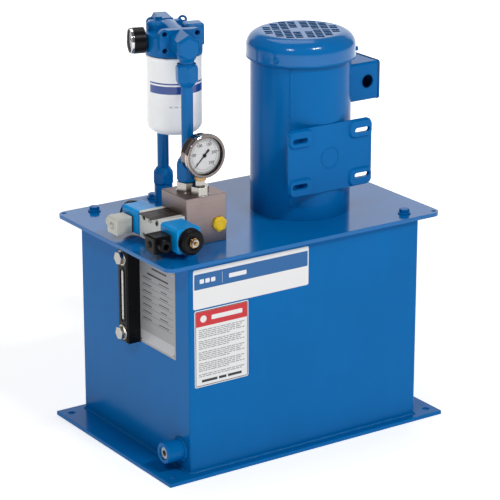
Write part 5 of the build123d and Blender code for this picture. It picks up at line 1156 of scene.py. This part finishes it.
class POWERUNIT_OT_filter(bpy.types.Operator):
    """Fit the canister's rolled seam, rings round the head's pad holes and boss and the clogging
    indicator's dial
    """

    bl_idname = "power_unit.filter"
    bl_label = "Filter trim"

    def execute(self, context):
        blue = finish_named("fitting enamel")
        can, low, high = span("filter_canister")
        seam_z = high.z - 0.0020
        axis = turned((can.x, can.y, 0), (0, 0, 1))
        r = (high.x - low.x) / 2
        bm = bmesh.new()
        closed_lathe(bm, axis, [(r - 0.003, seam_z + 0.0004), (r + 0.0004, seam_z + 0.0006),
                                (r + 0.0009, seam_z - 0.0012), (r + 0.0009, seam_z - 0.0034),
                                (r + 0.0002, seam_z - 0.0050), (r - 0.003, seam_z - 0.0048)], 96)
        piece("canister_seam", bm, finish_named("canister paint"), body="canister")
        bm = bmesh.new()
        closed_lathe(bm, axis, [(r - 0.009, seam_z + 0.0006), (r - 0.001, seam_z + 0.0006),
                                (r - 0.0012, seam_z + 0.0019), (r - 0.009, seam_z + 0.0019)], 96)
        piece("canister_gasket", bm, finish_named("gasket rubber"), body="canister")

        across = spoke(FILTER_TURN)
        rear = Vector((-across.y, across.x, 0))
        _, head_low, _ = span("filter_head")
        centre = Vector((can.x, can.y, 0))
        pad_z = head_low.z + 14 * MM + 26.8 * MM
        bm = bmesh.new()
        for side in (-1, 1):
            pad = turned(centre + rear * side * PAD_REACH + Vector((0, 0, pad_z)), rear * side)
            for sx, sy in CORNERS:
                spot = pad @ Matrix.Translation((sx * PAD_HOLE_ACROSS, sy * PAD_HOLE_UP, 0))
                closed_lathe(bm, spot, [(4.05 * MM, -0.0003), (8.0 * MM, -0.0003), (7.7 * MM, 0.0004),
                                        (4.4 * MM, 0.0004)], 28)
        boss_centre = centre - across * HEAD_BOSS_OUT + rear * HEAD_BOSS_BACK
        boss = turned(boss_centre + Vector((0, 0, pad_z + HEAD_BOSS_UP)), (0, 0, 1))
        closed_lathe(bm, boss,
                     [(0.0045, -0.0005), (0.0085, -0.0005), (0.0080, 0.0009), (0.0050, 0.0009)], 48)
        piece("filter_head_details", bm, blue)

        out = -across
        lens_centre = centre + out * INDICATOR_REACH + Vector((0, 0, pad_z - INDICATOR_DROP))
        face = turned(lens_centre, out)
        bm = bmesh.new()
        closed_lathe(bm, face, [(0.0186, -0.0005), (0.0209, -0.0034), (0.0210, -0.0002),
                                (0.0205, 0.0008),
                                (0.0192, 0.0010), (0.0186, 0.0004)], 72)
        piece("indicator_bezel", bm, finish_named("bright chrome"))
        bm = bmesh.new()
        lathe(bm, face, [(0, -0.00385), (0.0187, -0.00385)], 64)
        piece("indicator_dial", bm, finish_named("dial white"))
        bm = bmesh.new()
        for tick in range(13):
            angle = math.radians(20 + 11.7 * tick)
            away = spoke(angle)
            place = face @ Matrix.Translation(away * 0.0150) @ Matrix.Rotation(angle, 4, "Z")
            slab(bm, place, rounded_outline(0.0030, 0.0005, 0.0001, 2), -0.00385, -0.00375)
        piece("indicator_ticks", bm, finish_named("label black"))
        bm = bmesh.new()
        for groove in range(4):
            z = -0.0055 - 0.0042 * groove
            closed_lathe(bm, face, [(0.0205, z), (0.0210, z - 0.0004), (0.0210, z - 0.0020),
                                    (0.0205, z - 0.0024)], 72)
        piece("indicator_grip", bm, finish_named("black moulding"))
        return {"FINISHED"}


class POWERUNIT_OT_studio(bpy.types.Operator):
    """Set the pale floor, glowing brighter away from the unit, the soft lights and the camera"""

    bl_idname = "power_unit.studio"
    bl_label = "Studio"

    def execute(self, context):
        studio = context.scene.power_unit_studio
        s = Shade("studio floor")
        base = s.mix(s.noise(0.8, 2.0), (0.90, 0.90, 0.90), (0.93, 0.93, 0.93))
        x, y = s.axis("X"), s.axis("Y")
        # painted light: the floor glows, dimmest near the unit and white further out
        far = s.ramp((x * x + y * y) ** 0.5, 1.0, 2.6)
        glow = s.mix(far, (studio.glow,) * 3, (1.0, 1.0, 1.0))
        floor_finish = s.surface(Base_Color=base, Roughness=0.9, IOR=1.2,
                                 Emission_Color=glow, Emission_Strength=1.0)
        bm = bmesh.new()
        bmesh.ops.create_circle(bm, cap_ends=True, segments=96, radius=16.0)
        mesh = bpy.data.meshes.new("studio_floor")
        bm.to_mesh(mesh)
        bm.free()
        mesh.materials.append(floor_finish)
        floor = bpy.data.objects.new("studio_floor", mesh)
        context.scene.collection.objects.link(floor)

        world = bpy.data.worlds.new("studio room")
        world.use_nodes = True
        background = world.node_tree.nodes["Background"]
        background.inputs["Color"].default_value = (1, 1, 1, 1)
        background.inputs["Strength"].default_value = studio.room
        context.scene.world = world

        def lamp(name, place, target, size, power):
            data = bpy.data.lights.new(name, "AREA")
            data.shape = "RECTANGLE"
            data.size, data.size_y = size
            data.energy = power
            lamp_object = bpy.data.objects.new(name, data)
            lamp_object.location = place
            lamp_object.visible_camera = False
            aim = Vector(target) - Vector(place)
            lamp_object.rotation_mode = "QUATERNION"
            lamp_object.rotation_quaternion = aim.to_track_quat("-Z", "Y")
            context.scene.collection.objects.link(lamp_object)

        lamp("left_light", (-2.10, -1.28, 2.55), (0, 0, 0.35), (0.56, 0.30), studio.key * 0.58)
        lamp("front_light", (0.30, -2.6, 3.20), (0, 0, 0.3), (0.80, 0.34), studio.key * 1.45)
        lamp("top_light", (0.3, 0.9, 2.9), (0, 0.1, 0.3), (1.6, 1.6), studio.key * 0.5)
        lamp("rear_light", (1.79, 2.65, 1.35), (0, 0, 1.0), (5.0, 1.9), studio.key * 0.8)

        camera = bpy.data.cameras.new("camera")
        camera.lens = studio.lens
        camera.sensor_width = 36.0
        camera.clip_start, camera.clip_end = 0.1, 60.0
        shown = bpy.data.objects.new("camera", camera)
        shown.location = CAMERA_PLACE
        shown.rotation_mode = "QUATERNION"
        shown.rotation_quaternion = Vector(CAMERA_AIM).to_track_quat("-Z", "Y")
        context.scene.collection.objects.link(shown)
        context.scene.camera = shown
        context.scene.view_settings.view_transform = "Standard"
        return {"FINISHED"}


STEPS = (POWERUNIT_OT_finishes, POWERUNIT_OT_welds, POWERUNIT_OT_labels, POWERUNIT_OT_level_gauge,
         POWERUNIT_OT_motor, POWERUNIT_OT_valve, POWERUNIT_OT_pressure_gauge, POWERUNIT_OT_lines,
         POWERUNIT_OT_filter, POWERUNIT_OT_studio)


class POWERUNIT_PT_panel(bpy.types.Panel):
    """Lists the settings and the steps"""

    bl_idname = "POWERUNIT_PT_panel"
    bl_label = "Hydraulic Power Unit"
    bl_space_type = "VIEW_3D"
    bl_region_type = "UI"
    bl_category = "Power Unit"

    def draw(self, context):
        scene = context.scene
        for group in (scene.power_unit_colours, scene.power_unit_trim, scene.power_unit_studio):
            box = self.layout.box()
            for name in group.__annotations__:
                box.prop(group, name)
        for step in STEPS:
            self.layout.operator(step.bl_idname)


CLASSES = (PowerUnitColours, PowerUnitTrim, PowerUnitStudio, *STEPS, POWERUNIT_PT_panel)


def register():
    for item in CLASSES:
        bpy.utils.register_class(item)
    bpy.types.Scene.power_unit_colours = bpy.props.PointerProperty(type=PowerUnitColours)
    bpy.types.Scene.power_unit_trim = bpy.props.PointerProperty(type=PowerUnitTrim)
    bpy.types.Scene.power_unit_studio = bpy.props.PointerProperty(type=PowerUnitStudio)


def unregister():
    del bpy.types.Scene.power_unit_studio
    del bpy.types.Scene.power_unit_trim
    del bpy.types.Scene.power_unit_colours
    for item in reversed(CLASSES):
        bpy.utils.unregister_class(item)


def main():
    register()
    for step in STEPS:
        group, name = step.bl_idname.split(".")
        getattr(getattr(bpy.ops, group), name)()


if __name__ == "__main__":
    main()
